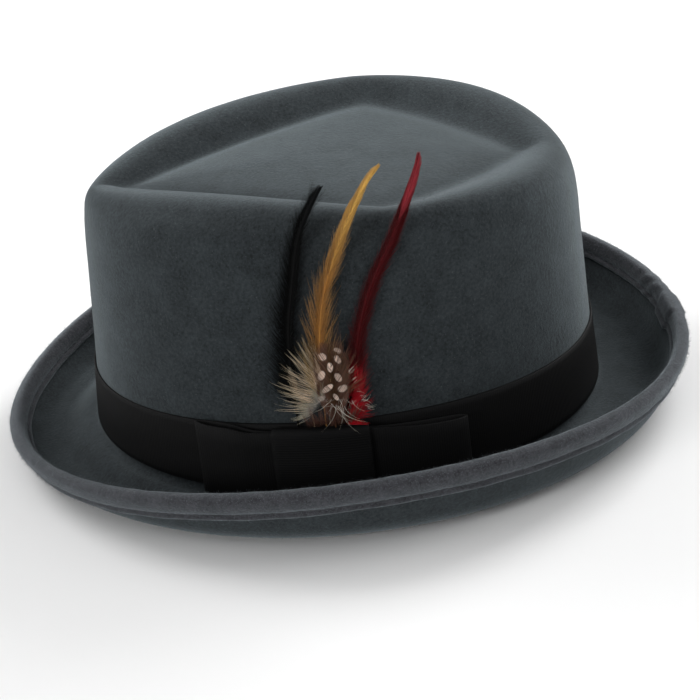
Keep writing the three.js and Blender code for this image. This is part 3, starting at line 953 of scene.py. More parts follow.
@dataclass
class EdgeBinding:
    """A strip of soft felt folded over the brim's edge and sewn down. In mm.

    Attributes:
        form: The hat's form.
        columns: How many columns run round the brim.
        depth: How far it reaches down from the edge on the outside.
        inner_share: How far it reaches on the inside, as a share of that.
        gap: Its clearance from the felt.
        thick: Its thickness.
        lap_from: The angle in degrees, from the back toward the left, where the lap of its two ends begins.
        lap_to: The angle where the upper end is cut off.
        lap_rise: The extra thickness there.
        lap_drop: How much further down it reaches there.
        lap_ramps: The degrees over which the lap rises from the strip and falls off at its end.
        gather_rise: The height of the gathers beside the lap.
        gather_span: How many degrees the gathers reach to either side of their middle.
        hem_waves: The hem's slow waves: how many go round, where they start and how high they are.
        puffs: The strip's puffs: how many go round, how they shift from row to row and how high they are.
        swell: The outer face of the section, as distances from the edge and shares of the thickness, with
            the groove of the seam in it.
        seam: The distance of the stitches from the edge, in the groove that they pull in.
        stitch_pitch: The distance between stitches.
        stitch_length: The length of a stitch.
        thread: The thickness of the thread.
        seed: The seed of the stitches' small differences in length.
    """

    form: HatForm
    columns: int = 720
    depth: float = 11.0
    inner_share: float = 0.82
    gap: float = 0.3
    thick: float = 1.2
    lap_from: float = -8.5
    lap_to: float = 0.0
    lap_rise: float = 0.9
    lap_drop: float = 1.8
    lap_ramps: tuple[float, float] = (1.5, 0.8)
    gather_rise: float = 0.45
    gather_span: float = 7.0
    hem_waves: tuple[tuple[float, float, float], ...] = ((11, 0.6, 0.2), (29, 2.1, 0.14))
    puffs: tuple[tuple[float, float, float], ...] = ((47, 1.7, 0.07), (83, 2.9, 0.05))
    swell: tuple[tuple[float, float], ...] = (
        (11.0, 0.05), (10.95, 0.6), (10.6, 0.95), (9.9, 1.15), (9.1, 1.02), (8.5, 0.6), (8.1, 0.48),
        (7.7, 0.62), (7.0, 1.0), (5.4, 1.28), (3.4, 1.36), (1.7, 1.2), (0.6, 0.85), (0.05, 0.3),
    )
    seam: float = 8.1
    stitch_pitch: float = 3.4
    stitch_length: float = 2.4
    thread: float = 0.42
    seed: int = 4

    def section(self) -> np.ndarray:
        """Lays out the strip's closed section, folded over the felt's edge.

        Returns:
            Distances from the edge and from the felt's upper face, shape (points, 2).
        """
        up, down, middle = self.gap, -self.form.felt - self.gap, -self.form.felt / 2
        above = [(reach * self.inner_share, up + rise * self.thick) for reach, rise in self.swell]
        below = [(reach, down - rise * self.thick) for reach, rise in reversed(self.swell)]
        # The inner face runs round the felt, which ends short of the edge ring
        inner = [(8.0, down), (4.5, down), (1.6, down), (1.3, middle), (1.6, up), (4.5, up), (6.5, up)]
        return np.array(above + [(-0.15, middle)] + below + inner)

    def loop(self, from_edge: float, away: float, row: int = 0) -> np.ndarray:
        """A line round the brim.

        Args:
            from_edge: The distance from the edge.
            away: The distance from the felt's upper face.
            row: The number of the line, which gives it its own unevenness.

        Returns:
            The points.
        """
        angle = full_turn(self.columns)
        # The hem wanders a little, as a turned edge does
        wander = sum(size * np.sin(count * angle + phase) for count, phase, size in self.hem_waves)
        middle = -self.form.felt / 2
        outside = abs(away - middle) > self.form.felt / 2 + self.gap + 0.2
        degrees = (np.degrees(angle) + 180) % 360 - 180
        # The end of the strip laps over its start, and the felt is gathered next to it
        rise, fall = self.lap_ramps
        lap = np.clip((degrees - self.lap_from) / rise, 0, 1) * np.clip((self.lap_to - degrees) / fall, 0, 1)
        reach = from_edge + (wander + lap * self.lap_drop * outside) * (from_edge / self.depth) ** 2
        near = np.clip(1 - np.abs(degrees - self.lap_from + 6) / self.gather_span, 0, 1)
        gather = near * np.sin(np.radians(degrees) * 90 + 0.7 * from_edge)
        puff = sum(size * np.sin(count * angle + shift * row) for count, shift, size in self.puffs)
        extra = (lap * self.lap_rise + gather * self.gather_rise + puff) * outside
        point, normal = self.form.brim_at(angle, reach)
        return point + normal * (away + extra * np.sign(away - middle))[:, None]

    def build(self, material: Material) -> Object:
        """Makes the binding and its two rows of stitches.

        Args:
            material: The binding's felt.

        Returns:
            The binding without the stitches.
        """
        rows = np.stack([self.loop(reach, away, row) for row, (reach, away) in enumerate(self.section())])
        binding = Skin("brim_binding", rows, rows_close=True).build(material)
        dress(binding, Slot.BINDING, "edge_binding")
        tree = stitch_tree()
        rise = self.gap + self.thick * 0.55
        seams = {
            "seam_upper": (self.seam * self.inner_share, rise),
            "seam_under": (self.seam, -self.form.felt - rise),
        }
        for name, (from_edge, away) in seams.items():
            stitches = grow(closed_path(name, self.loop(from_edge, away)), tree, {
                "Pitch": self.stitch_pitch * MM, "Stitch Length": self.stitch_length * MM,
                "Thread Thickness": self.thread * MM, "Seed": self.seed, "Material": material})
            dress(stitches, Slot.BINDING)
        return binding


# Geometry node trees


def closed_path(name: str, points: np.ndarray) -> Object:
    """Makes a closed chain of edges that a node tree grows things along.

    Args:
        name: The name of the object.
        points: The points in mm.

    Returns:
        The object.
    """
    edges = [(i, (i + 1) % len(points)) for i in range(len(points))]
    mesh = bpy.data.meshes.new(name)
    mesh.from_pydata((points * MM).tolist(), edges, [])
    return link(name, mesh)


def new_tree(name: str, inputs: list[tuple[str, str, object]]) -> tuple[NodeTree, Node]:
    """Makes a geometry node tree with named inputs.

    Args:
        name: The tree's name.
        inputs: Each input's name, socket type and default value.

    Returns:
        The tree and its input node.
    """
    tree = bpy.data.node_groups.new(name, "GeometryNodeTree")
    tree.interface.new_socket("Geometry", in_out="INPUT", socket_type="NodeSocketGeometry")
    tree.interface.new_socket("Geometry", in_out="OUTPUT", socket_type="NodeSocketGeometry")
    for label, kind, value in inputs:
        socket = tree.interface.new_socket(label, in_out="INPUT", socket_type=kind)
        if value is not None:
            socket.default_value = value
    return tree, tree.nodes.new("NodeGroupInput")


def close_tree(tree: NodeTree, instances: Node, material: NodeSocket) -> None:
    """Ends a tree: makes its copies real, smooths them and gives them their material.

    Args:
        tree: The tree.
        instances: The node that lays the copies.
        material: Their material.
    """
    real = add_node(tree, "GeometryNodeRealizeInstances", links={"Geometry": instances})
    smooth = add_node(tree, "GeometryNodeSetShadeSmooth", links={"Geometry": real})
    dressed = add_node(tree, "GeometryNodeSetMaterial", links={"Geometry": smooth, "Material": material})
    tree.links.new(dressed.outputs[0], tree.nodes.new("NodeGroupOutput").inputs[0])


def grow(base: Object, tree: NodeTree, values: dict[str, object]) -> Object:
    """Runs a node tree on an object and keeps the result as a plain mesh.

    Args:
        base: The object, whose mesh is replaced.
        tree: The node tree.
        values: Its inputs by name.

    Returns:
        The same object.
    """
    modifier = base.modifiers.new(tree.name, "NODES")
    modifier.node_group = tree
    for item in tree.interface.items_tree:
        if item.item_type == "SOCKET" and item.in_out == "INPUT" and item.name in values:
            modifier[item.identifier] = values[item.name]
    graph = bpy.context.evaluated_depsgraph_get()
    mesh = bpy.data.meshes.new_from_object(base.evaluated_get(graph))
    base.modifiers.remove(modifier)
    old = base.data
    base.data = mesh
    bpy.data.meshes.remove(old)
    mesh.name = base.name
    return base


def stitch_tree() -> NodeTree:
    """Makes a tree that lays stitches at an even pitch along a path.

    Returns:
        The tree.
    """
    tree, given = new_tree("stitch_row", [
        ("Pitch", "NodeSocketFloat", 0.0034), ("Stitch Length", "NodeSocketFloat", 0.0024),
        ("Thread Thickness", "NodeSocketFloat", 0.0004), ("Seed", "NodeSocketInt", 4),
        ("Material", "NodeSocketMaterial", None),
    ])
    out = given.outputs
    curve = add_node(tree, "GeometryNodeMeshToCurve", links={"Mesh": out["Geometry"]})
    even = add_node(tree, "GeometryNodeResampleCurve", {"mode": "LENGTH"},
                    {"Curve": curve, "Length": out["Pitch"]})
    tangent = add_node(tree, "GeometryNodeInputTangent")
    turn = add_node(tree, "FunctionNodeAlignRotationToVector", {"axis": "Z"}, {"Vector": tangent})
    ball = add_node(tree, "GeometryNodeMeshUVSphere", links={"Segments": 6, "Rings": 5, "Radius": 0.5})
    slack = add_node(tree, "FunctionNodeRandomValue", {"data_type": "FLOAT"},
                     {2: 0.85, 3: 1.1, "Seed": out["Seed"]}).outputs[1]
    length = add_node(tree, "ShaderNodeMath", {"operation": "MULTIPLY"}, {0: out["Stitch Length"], 1: slack})
    size = add_node(tree, "ShaderNodeCombineXYZ", links={
        0: out["Thread Thickness"], 1: out["Thread Thickness"], 2: length})
    laid = add_node(tree, "GeometryNodeInstanceOnPoints", links={
        "Points": even, "Instance": ball, "Rotation": turn, "Scale": size})
    close_tree(tree, laid, out["Material"])
    return tree


def nap_tree() -> NodeTree:
    """Makes a tree that covers a surface with short leaning fibres, but not close to the ground.

    Returns:
        The tree.
    """
    tree, given = new_tree("felt_nap", [
        ("Density", "NodeSocketFloat", 200000.0), ("Fibre Length", "NodeSocketFloat", 0.001),
        ("Fibre Thickness", "NodeSocketFloat", 0.00006), ("Lean", "NodeSocketFloat", 1.1),
        ("Ground Gap", "NodeSocketFloat", 0.002), ("Seed", "NodeSocketInt", 7),
        ("Material", "NodeSocketMaterial", None),
    ])
    out = given.outputs
    place = add_node(tree, "GeometryNodeInputPosition")
    height = add_node(tree, "ShaderNodeSeparateXYZ", links={0: place}).outputs[2]
    clear = add_node(tree, "FunctionNodeCompare", {"data_type": "FLOAT", "operation": "GREATER_THAN"},
                     {0: height, 1: out["Ground Gap"]})
    spots = add_node(tree, "GeometryNodeDistributePointsOnFaces", {"distribute_method": "RANDOM"}, {
        "Mesh": out["Geometry"], "Selection": clear, "Density": out["Density"],
        "Seed": out["Seed"]}).outputs
    chance = add_node(tree, "FunctionNodeRandomValue", {"data_type": "FLOAT_VECTOR"}, {
        0: (0.6, 0.0, 0.5), 1: (1.15, 2 * math.pi, 1.2), "Seed": out["Seed"]})
    share = add_node(tree, "ShaderNodeSeparateXYZ", links={0: chance}).outputs
    lean = add_node(tree, "ShaderNodeMath", {"operation": "MULTIPLY"}, {0: share[0], 1: out["Lean"]})
    angles = add_node(tree, "ShaderNodeCombineXYZ", links={0: lean, 2: share[1]})
    turn = add_node(tree, "FunctionNodeEulerToRotation", links={0: angles})
    rotation = add_node(tree, "FunctionNodeRotateRotation", {"rotation_space": "LOCAL"},
                        {0: spots["Rotation"], 1: turn})
    fibre = add_node(tree, "GeometryNodeMeshCone", {"fill_type": "NGON"}, {
        "Vertices": 3, "Side Segments": 1, "Radius Top": 0.0, "Radius Bottom": 0.5, "Depth": 1.0})
    length = add_node(tree, "ShaderNodeMath", {"operation": "MULTIPLY"},
                      {0: share[2], 1: out["Fibre Length"]})
    size = add_node(tree, "ShaderNodeCombineXYZ", links={
        0: out["Fibre Thickness"], 1: out["Fibre Thickness"], 2: length})
    grown = add_node(tree, "GeometryNodeInstanceOnPoints", links={
        "Points": spots["Points"], "Instance": fibre, "Rotation": rotation, "Scale": size})
    close_tree(tree, grown, out["Material"])
    return tree


@dataclass(frozen=True)
class Nap:
    """The short fibres that stand on a felt surface, in mm and per square metre.

    Attributes:
        name: The name of the piece.
        slot: The material slot.
        density: How many fibres grow on a square metre.
        length: The length of a fibre.
        thickness: Its thickness. Real fibres are 0.02 mm, too fine to show, so each one stands for a wisp.
        lean: How far it leans over, in radians.
        clearance: How far over its own length above the ground a fibre has to start.
        seed: The seed of the fibres' places.
    """

    name: str
    slot: Slot
    density: float
    length: float
    thickness: float
    lean: float
    clearance: float = 0.4
    seed: int = 7

    def build(self, surface: Object, tree: NodeTree, material: Material) -> None:
        """Grows the fibres on a piece.

        Args:
            surface: The piece.
            tree: The tree that grows fibres.
            material: The fibres' material.
        """
        base = link(self.name, surface.data.copy())
        grow(base, tree, {
            "Density": self.density, "Fibre Length": self.length * MM, "Fibre Thickness": self.thickness * MM,
            "Lean": self.lean, "Ground Gap": (self.length + self.clearance) * MM, "Seed": self.seed,
            "Material": material})
        dress(base, self.slot)


def barb_tree() -> NodeTree:
    """Makes a tree that grows a bent, tapering barb from each point, along the point's own axes.

    Returns:
        The tree.
    """
    tree, given = new_tree("feather_barbs", [
        ("Bend", "NodeSocketFloat", 0.2), ("Thickness", "NodeSocketFloat", 0.02),
        ("Steps", "NodeSocketInt", 5), ("Length Spread", "NodeSocketFloat", 0.15),
        ("Angle Spread", "NodeSocketFloat", 0.06), ("Lift Spread", "NodeSocketFloat", 0.04),
        ("Seed", "NodeSocketInt", 1),
        ("Material", "NodeSocketMaterial", None),
    ])
    out = given.outputs
    stored = {}
    for name, kind in {"out": "FLOAT_VECTOR", "bend": "FLOAT_VECTOR", "reach": "FLOAT"}.items():
        stored[name] = add_node(tree, "GeometryNodeInputNamedAttribute", {"data_type": kind}, {"Name": name})
    stray = {}
    for shift, name in enumerate(("Lift Spread", "Angle Spread", "Length Spread")):
        seed = add_node(tree, "ShaderNodeMath", {"operation": "ADD"}, {0: out["Seed"], 1: shift + 1.0})
        chance = add_node(tree, "FunctionNodeRandomValue", {"data_type": "FLOAT"}, {2: -1.0, "Seed": seed})
        stray[name] = add_node(tree, "ShaderNodeMath", {"operation": "MULTIPLY"},
                               {0: chance.outputs[1], 1: out[name]})
    tip = add_node(tree, "ShaderNodeCombineXYZ", links={0: out["Bend"], 1: 1.0})
    line = add_node(tree, "GeometryNodeCurveQuadraticBezier", links={
        "Resolution": out["Steps"], "Start": (0, 0, 0), "Middle": (0, 0.55, 0), "End": tip})
    factor = add_node(tree, "GeometryNodeSplineParameter").outputs["Factor"]
    marked = add_node(tree, "GeometryNodeStoreNamedAttribute", {"data_type": "FLOAT", "domain": "POINT"},
                      {"Geometry": line, "Name": "barb_share", "Value": factor})
    taper = add_node(tree, "ShaderNodeMapRange", links={0: factor, 1: 0.25, 2: 1.0, 3: 1.0, 4: 0.1})
    profile = add_node(tree, "GeometryNodeCurvePrimitiveCircle", links={
        "Resolution": 3, "Radius": out["Thickness"]})
    barb = add_node(tree, "GeometryNodeCurveToMesh", links={
        "Curve": marked, "Profile Curve": profile, "Scale": taper, "Fill Caps": True})
    aimed = add_node(tree, "FunctionNodeAxesToRotation", {"primary_axis": "Y", "secondary_axis": "X"},
                     {0: stored["out"], 1: stored["bend"]})
    jitter = add_node(tree, "ShaderNodeCombineXYZ", links={0: stray["Lift Spread"], 2: stray["Angle Spread"]})
    turn = add_node(tree, "FunctionNodeEulerToRotation", links={0: jitter})
    rotation = add_node(tree, "FunctionNodeRotateRotation", {"rotation_space": "LOCAL"}, {0: aimed, 1: turn})
    change = add_node(tree, "ShaderNodeMath", {"operation": "ADD"}, {0: stray["Length Spread"], 1: 1.0})
    size = add_node(tree, "ShaderNodeMath", {"operation": "MULTIPLY"}, {0: stored["reach"], 1: change})
    grown = add_node(tree, "GeometryNodeInstanceOnPoints", links={
        "Points": out["Geometry"], "Instance": barb, "Rotation": rotation, "Scale": size})
    close_tree(tree, grown, out["Material"])
    return tree


# Ribbon trims


@dataclass
class RibbonBand:
    """The ribbon round the foot of the crown. In mm.

    Attributes:
        form: The hat's form.
        columns: How many columns run round the hat.
        rows: How many rows lie on each face.
        lap: How far the ribbon reaches below the crown's foot.
        top_front: The height of its upper edge at the front.
        top_side: The same at the sides.
        top_back: The same at the back.
        width: The width of the ribbon.
        gap: Its clearance from the felt.
        thick: Its thickness.
        hem: How far its outer face stops short of its edges, which are rounded by that.
    """

    form: HatForm
    columns: int = 320
    rows: int = 13
    lap: float = 0.5
    top_front: float = 33.4
    top_side: float = 36.6
    top_back: float = 31.2
    width: float = 30.0
    gap: float = 0.2
    thick: float = 0.7
    hem: float = 0.35

    def build(self, material: Material) -> None:
        """Makes the band.

        Args:
            material: The ribbon.
        """
        angle = full_turn(self.columns)
        curve = self.form.crown_at(angle, np.linspace(0, 3 / len(self.form.crown), 240))
        low = curve[0, :, 2] - self.lap
        high = around_hat(self.top_front, self.top_side, self.top_back, angle)
        foot = self.form.crown[0]
        outward = unit(np.stack([np.sin(angle) / foot.side, np.cos(angle) / foot.front, 0 * angle], 1))
        shares = np.linspace(0, 1, self.rows)
        faces = [(share, self.gap) for share in shares]
        edge = self.hem / (self.top_side - foot.z_side)
        faces += [(1 - share * (1 - 2 * edge) - edge, self.gap + self.thick) for share in shares]
        grid = []
        for share, away in faces:
            height = low + (high - low) * share
            row = np.stack([[np.interp(z, curve[:, i, 2], curve[:, i, axis]) for axis in (0, 1)] + [z]
                            for i, z in enumerate(height)])
            grid.append(row + outward * away)
        rows = np.stack(grid)
        round_hat = run_along(np.vstack([rows[0], rows[0][:1]])) * MM
        up_ribbon = np.array([share for share, _ in faces] + [0]) * self.width * MM
        uv = np.stack(np.meshgrid(round_hat, up_ribbon), axis=-1)
        dress(Skin("ribbon_band", rows, rows_close=True, uv=uv).build(material), Slot.RIBBON, "band")


@dataclass
class SideBow:
    """A flat bow on the wearer's left: one flattened loop of ribbon with a strip over its middle. In mm.

    Attributes:
        wall: The wall that it lies on.
        middle: Its middle along the hat.
        foot: The height of its foot.
        width: The width of the ribbon.
        tilt: How far it rises per mm toward the back.
        thick: The thickness of the ribbon.
        path: Knots of the ribbon's middle line: the place along, and the distance from the wall.
        steps: How many points lie from one knot to the next.
        top_drop: How far the upper edge lies below a straight one, by the place along.
        knot_from: Where the strip over the middle begins along the bow.
        knot_to: Where it ends.
        knot_behind: How far from the wall its turned-in ends lie.
        knot_lift: How far its face lies over the middle line of the ribbon's outer layer.
        knot_wrap: How much longer it is than the ribbon is wide.
        knot_turn: Its turn from there to its face: the height past the bow's edge and the distance from
            the face.
    """

    wall: LeftWall
    middle: float = -8.5
    foot: float = 6.3
    width: float = 30.5
    tilt: float = -0.03
    thick: float = 0.9
    path: tuple[tuple[float, float], ...] = (
        (-48.5, 3.6), (-46.5, 2.3), (-23, 3.4), (-2, 3.4), (18, 3.4), (48, 2.3), (50, 3.6),
        (47.5, 5), (32, 5.9), (18, 4.7), (-2, 4.7), (-23, 4.7), (-34, 5.9), (-46, 5),
    )
    steps: int = 10
    top_drop: tuple[tuple[float, float], ...] = (
        (-50, 1.2), (-36, 1.2), (-29, 2.6), (14, 2.0), (30, 3.2), (50, 5.0))
    knot_from: float = -21.0
    knot_to: float = 14.0
    knot_behind: float = 3.0
    knot_lift: float = 0.8
    knot_wrap: float = 8.0
    knot_turn: tuple[tuple[float, float], ...] = ((0.5, -0.3), (0.35, 0.05), (0.0, 0.2))

    def at(self, along: float, height: float, away: float) -> np.ndarray:
        """A point of the bow, by its place along, its height over the foot and its distance from the wall."""
        return self.wall.place(self.middle + along, self.foot + self.tilt * along + height, away)

    def top(self, along: float) -> float:
        """The height of the ribbon's upper edge over its foot."""
        places, drops = zip(*self.top_drop)
        return self.width - float(np.interp(along, places, drops))

    def loop(self, material: Material) -> None:
        """Makes the flattened loop.

        Args:
            material: The ribbon.
        """
        knots = np.array(self.path + self.path[:4])
        count = len(self.path) * self.steps
        share = (np.arange(count) / self.steps + 1) / (len(knots) - 1)
        line = through_knots(knots, share)
        tangent = unit(np.roll(line, -1, axis=0) - np.roll(line, 1, axis=0))
        heights = np.array([0.0, 0.01, 0.2, 0.4, 0.6, 0.8, 0.99, 1.0])
        half = self.thick / 2
        section = [(1, share_up) for share_up in heights] + [(-1, share_up) for share_up in heights[::-1]]
        grid = np.zeros((count, len(section), 3))
        for i, (place, aim) in enumerate(zip(line, tangent)):
            for j, (side, up) in enumerate(section):
                # The selvedges are thinner than the ribbon between them
                offset = side * half * (0.55 if up in (0.0, 1.0) else 1.0)
                along, away = place[0] + offset * aim[1], place[1] - offset * aim[0]
                grid[i, j] = self.at(along, up * self.top(along), away)
        run = run_along(np.vstack([line, line[:1]]))
        up_ribbon = np.array([up for _, up in section] + [0]) * self.width
        uv = np.stack(np.meshgrid(run, up_ribbon, indexing="ij"), axis=-1) * MM
        dress(Skin("bow_ribbon", grid, rows_close=True, uv=uv).build(material), Slot.RIBBON, "bow_loop")

    def knot(self, material: Material) -> None:
        """Makes the strip over the middle, turned in above and below the bow.

        Args:
            material: The ribbon, with its ribs the other way.
        """
        front = self.path[9][1] + self.knot_lift
        over = [(past, front + away) for past, away in reversed(self.knot_turn)]
        over.append((self.knot_turn[0][0], self.knot_behind))
        turn = [(-past, away) for past, away in reversed(over)]
        # The face bulges a little between the turns
        climb = [(share, front + 0.2 + 0.25 * math.sin(math.pi * share))
                 for share in np.linspace(0.05, 0.95, 12)]
        places = np.linspace(self.knot_from, self.knot_to, 36)
        inner, outer = [], []
        for place in places:
            reach = self.top(place)
            line = np.array([(rise, away) for rise, away in turn]
                            + [(share * reach, away) for share, away in climb]
                            + [(reach + rise, away) for rise, away in over])
            aim = unit(np.gradient(line, axis=0))
            push = np.stack([-aim[:, 1], aim[:, 0]], 1) * self.thick
            edge = abs(place - (self.knot_from + self.knot_to) / 2) / ((self.knot_to - self.knot_from) / 2)
            # The strip thins out toward its two sides
            rolled = -0.35 * max(edge - 0.93, 0) / 0.07
            inner.append([self.at(place, *point) for point in line])
            outer.append([self.at(place, *point) for point in line + push * (1 + rolled)])
        sheet_in, sheet_out = np.array(inner), np.array(outer)
        loop = np.concatenate([sheet_out, sheet_in[:, ::-1]], axis=1).transpose(1, 0, 2)
        climb_run = np.linspace(0, self.width + self.knot_wrap, sheet_in.shape[1])
        v = np.concatenate([climb_run, climb_run[::-1], [0]])
        uv = np.stack(np.meshgrid(v, np.append(places, places[-1]), indexing="ij"), axis=-1)[:, :, ::-1] * MM
        piece = Skin("bow_strip", loop, rows_close=True, columns_close=False, uv=uv).build(material)
        close_ends(piece)
        dress(piece, Slot.RIBBON, "bow_knot")


def close_ends(piece: Object) -> None:
    """Fills the open rims of a strip and turns its faces outward.

    Args:
        piece: The strip.
    """
    work = bmesh.new()
    work.from_mesh(piece.data)
    rims = [edge for edge in work.edges if edge.is_boundary]
    bmesh.ops.holes_fill(work, edges=rims, sides=0)
    bmesh.ops.recalc_face_normals(work, faces=work.faces)
    work.to_mesh(piece.data)
    work.free()


# Feathers


@dataclass
class Barbs:
    """Barbs to be grown.

    Attributes:
        points: Where each barb starts, in mm.
        out: The direction in which it runs.
        bend: The direction toward which it bends.
        reach: Its length in metres.
        tint: Its shade, from 0 to 1.
        station: Its place along the feather, from 0 to 1.
    """

    points: list[np.ndarray] = field(default_factory=list)
    out: list[np.ndarray] = field(default_factory=list)
    bend: list[np.ndarray] = field(default_factory=list)
    reach: list[float] = field(default_factory=list)
    tint: list[float] = field(default_factory=list)
    station: list[float] = field(default_factory=list)

    def add(
            self, start: np.ndarray, end: np.ndarray, toward: np.ndarray, tint: float,
            station: float) -> None:
        """Adds one barb.

        Args:
            start: Where the barb starts, in mm.
            end: Where it would end if it were straight.
            toward: The direction toward which it bends.
            tint: Its shade, from 0 to 1.
            station: Its place along the feather, from 0 to 1.
        """
        run = end - start
        length = float(np.linalg.norm(run))
        self.points.append(start)
        self.out.append(run / length)
        self.bend.append(toward)
        self.reach.append(length * MM)
        self.tint.append(tint)
        self.station.append(station)

    def tuft(
            self, random: np.random.Generator, starts: list[np.ndarray], tip: np.ndarray,
            toward: np.ndarray, station: float, slack: float = 0.03) -> None:
        """Adds barbs that cling together and end in one point.

        Args:
            random: The source of chance.
            starts: Where the barbs start.
            tip: Where they end.
            toward: The direction toward which they bend.
            station: Their place along the feather.
            slack: How far each end may stray, as a share of the barb's length.
        """
        tint = random.uniform(0.2, 0.9)
        for start in starts:
            stray = random.normal(0, slack, 3) * np.linalg.norm(tip - start)
            self.add(start, tip + stray, toward, float(np.clip(tint + random.normal(0, 0.12), 0, 1)), station)

    def build(self, name: str) -> Object:
        """Makes an object of loose points that carry the barbs' values as attributes.

        Args:
            name: The name of the object.

        Returns:
            The object.
        """
        mesh = bpy.data.meshes.new(name)
        mesh.from_pydata((np.array(self.points) * MM).tolist(), [], [])
        for label in ("out", "bend"):
            layer = mesh.attributes.new(label, "FLOAT_VECTOR", "POINT")
            layer.data.foreach_set("vector", np.array(getattr(self, label), dtype=np.float32).ravel())
        for label in ("reach", "tint", "station"):
            layer = mesh.attributes.new(label, "FLOAT", "POINT")
            layer.data.foreach_set("value", np.array(getattr(self, label), dtype=np.float32))
        return link(name, mesh)


@dataclass(frozen=True)
class Tufts:
    """Loose barbs along a shaft, which cling together in points. In mm and degrees.

    Attributes:
        reach: The length of the barbs at the foot and where they end.
        angles: Their angle from the shaft at the same two places.
        until: The share of the vane's length at which they end.
        pitch: The distance between tufts.
        strands: How many barbs cling together.
        begin: The share of the vane's length at which they begin.
        front: How full the side toward the hat's front is, from 0 to 1.
        back: How full the other side is.
        lift: How steeply they stand off the wall, as a share of their length.
        thickness: A barb's radius as a share of its length.
        bend: How far a barb's end bends toward the tip, as a share of its length.
    """

    reach: tuple[float, float]
    angles: tuple[float, float]
    until: float
    pitch: float
    strands: int
    begin: float = 0.0
    front: float = 1.0
    back: float = 0.8
    lift: float = 0.08
    thickness: float = 0.006
    bend: float = 0.14


@dataclass(frozen=True)
class Spray:
    """Barbs that fan out from a short line near the wall, in mm and degrees.

    Attributes:
        name: What the spray is.
        count: How many tufts it has.
        start: The first root: place along the hat, height and distance from the wall.
        end: The last root.
        angles: The direction of the first and the last tuft, from straight up toward the hat's back.
        reach: The shortest and the longest barb.
        lift: How steeply they stand off the wall, as a share of their length.
        station: The place along the feather whose colour they take.
        bend: How far a barb's end bends, as a share of its length.
        thickness: A barb's radius as a share of its length.
        stray: The random turn of each tuft, in degrees.
        strands: How many barbs cling together.
        spread: The width of a tuft's roots.
        scatter: How far each root may lie from the line, in mm.
    """

    name: str
    count: int
    start: tuple[float, float, float]
    end: tuple[float, float, float]
    angles: tuple[float, float]
    reach: tuple[float, float]
    lift: float
    station: float
    bend: float
    thickness: float
    stray: float
    strands: int = 1
    spread: float = 0.0
    scatter: float = 0.45

    @property
    def curly(self) -> bool:
        """Whether the barbs curl to either side, as loose threads do."""
        return self.bend > 0.3


@dataclass(frozen=True)
class Blade:
    """A feather's shaft and vane.

    Attributes:
        rows: Place along the hat, height, distance from the wall and vane width in mm, from foot to tip.
        vane_from: The row at which the vane starts.
        pitch: The distance between barbs along the shaft in mm.
        angle_foot: The barbs' angle from the shaft at the foot, in degrees.
        angle_tip: The same at the tip.
        shaft: The radius of the shaft at its foot in mm.
        splits: How far the vane opens on average where its barbs let go of each other, in degrees.
        widest_split: The most that it opens there.
        webs: The shortest and the longest stretch of barbs that cling together, in mm.
        uneven: How much the length of the barbs changes from one stretch to the next, as a share.
        shortest: The shortest barb, at the tip, in mm.
        thickness: A barb's radius as a share of its length.
    """

    rows: tuple[tuple[float, float, float, float], ...]
    vane_from: int = 2
    pitch: float = 0.26
    angle_foot: float = 24.0
    angle_tip: float = 11.0
    shaft: float = 0.5
    splits: float = 1.0
    widest_split: float = 6.0
    webs: tuple[float, float] = (2.5, 7.0)
    uneven: float = 0.035
    shortest: float = 0.8
    thickness: float = 0.024


@dataclass
class Centreline:
    """A feather's shaft, sampled in mm.

    Attributes:
        points: The points.
        tangent: The direction toward the tip at each point.
        away: The direction away from the wall.
        widths: The width of the vane.
        run: The distance from the foot along the shaft.
    """

    points: np.ndarray
    tangent: np.ndarray
    away: np.ndarray
    widths: np.ndarray
    run: np.ndarray

    @property
    def across(self) -> np.ndarray:
        """The direction in the vane's plane that points toward the hat's front."""
        return np.cross(self.away, self.tangent)

    def index(self, at: float) -> int:
        """The sample at a distance along the shaft."""
        return min(int(np.searchsorted(self.run, at)), len(self.run) - 1)


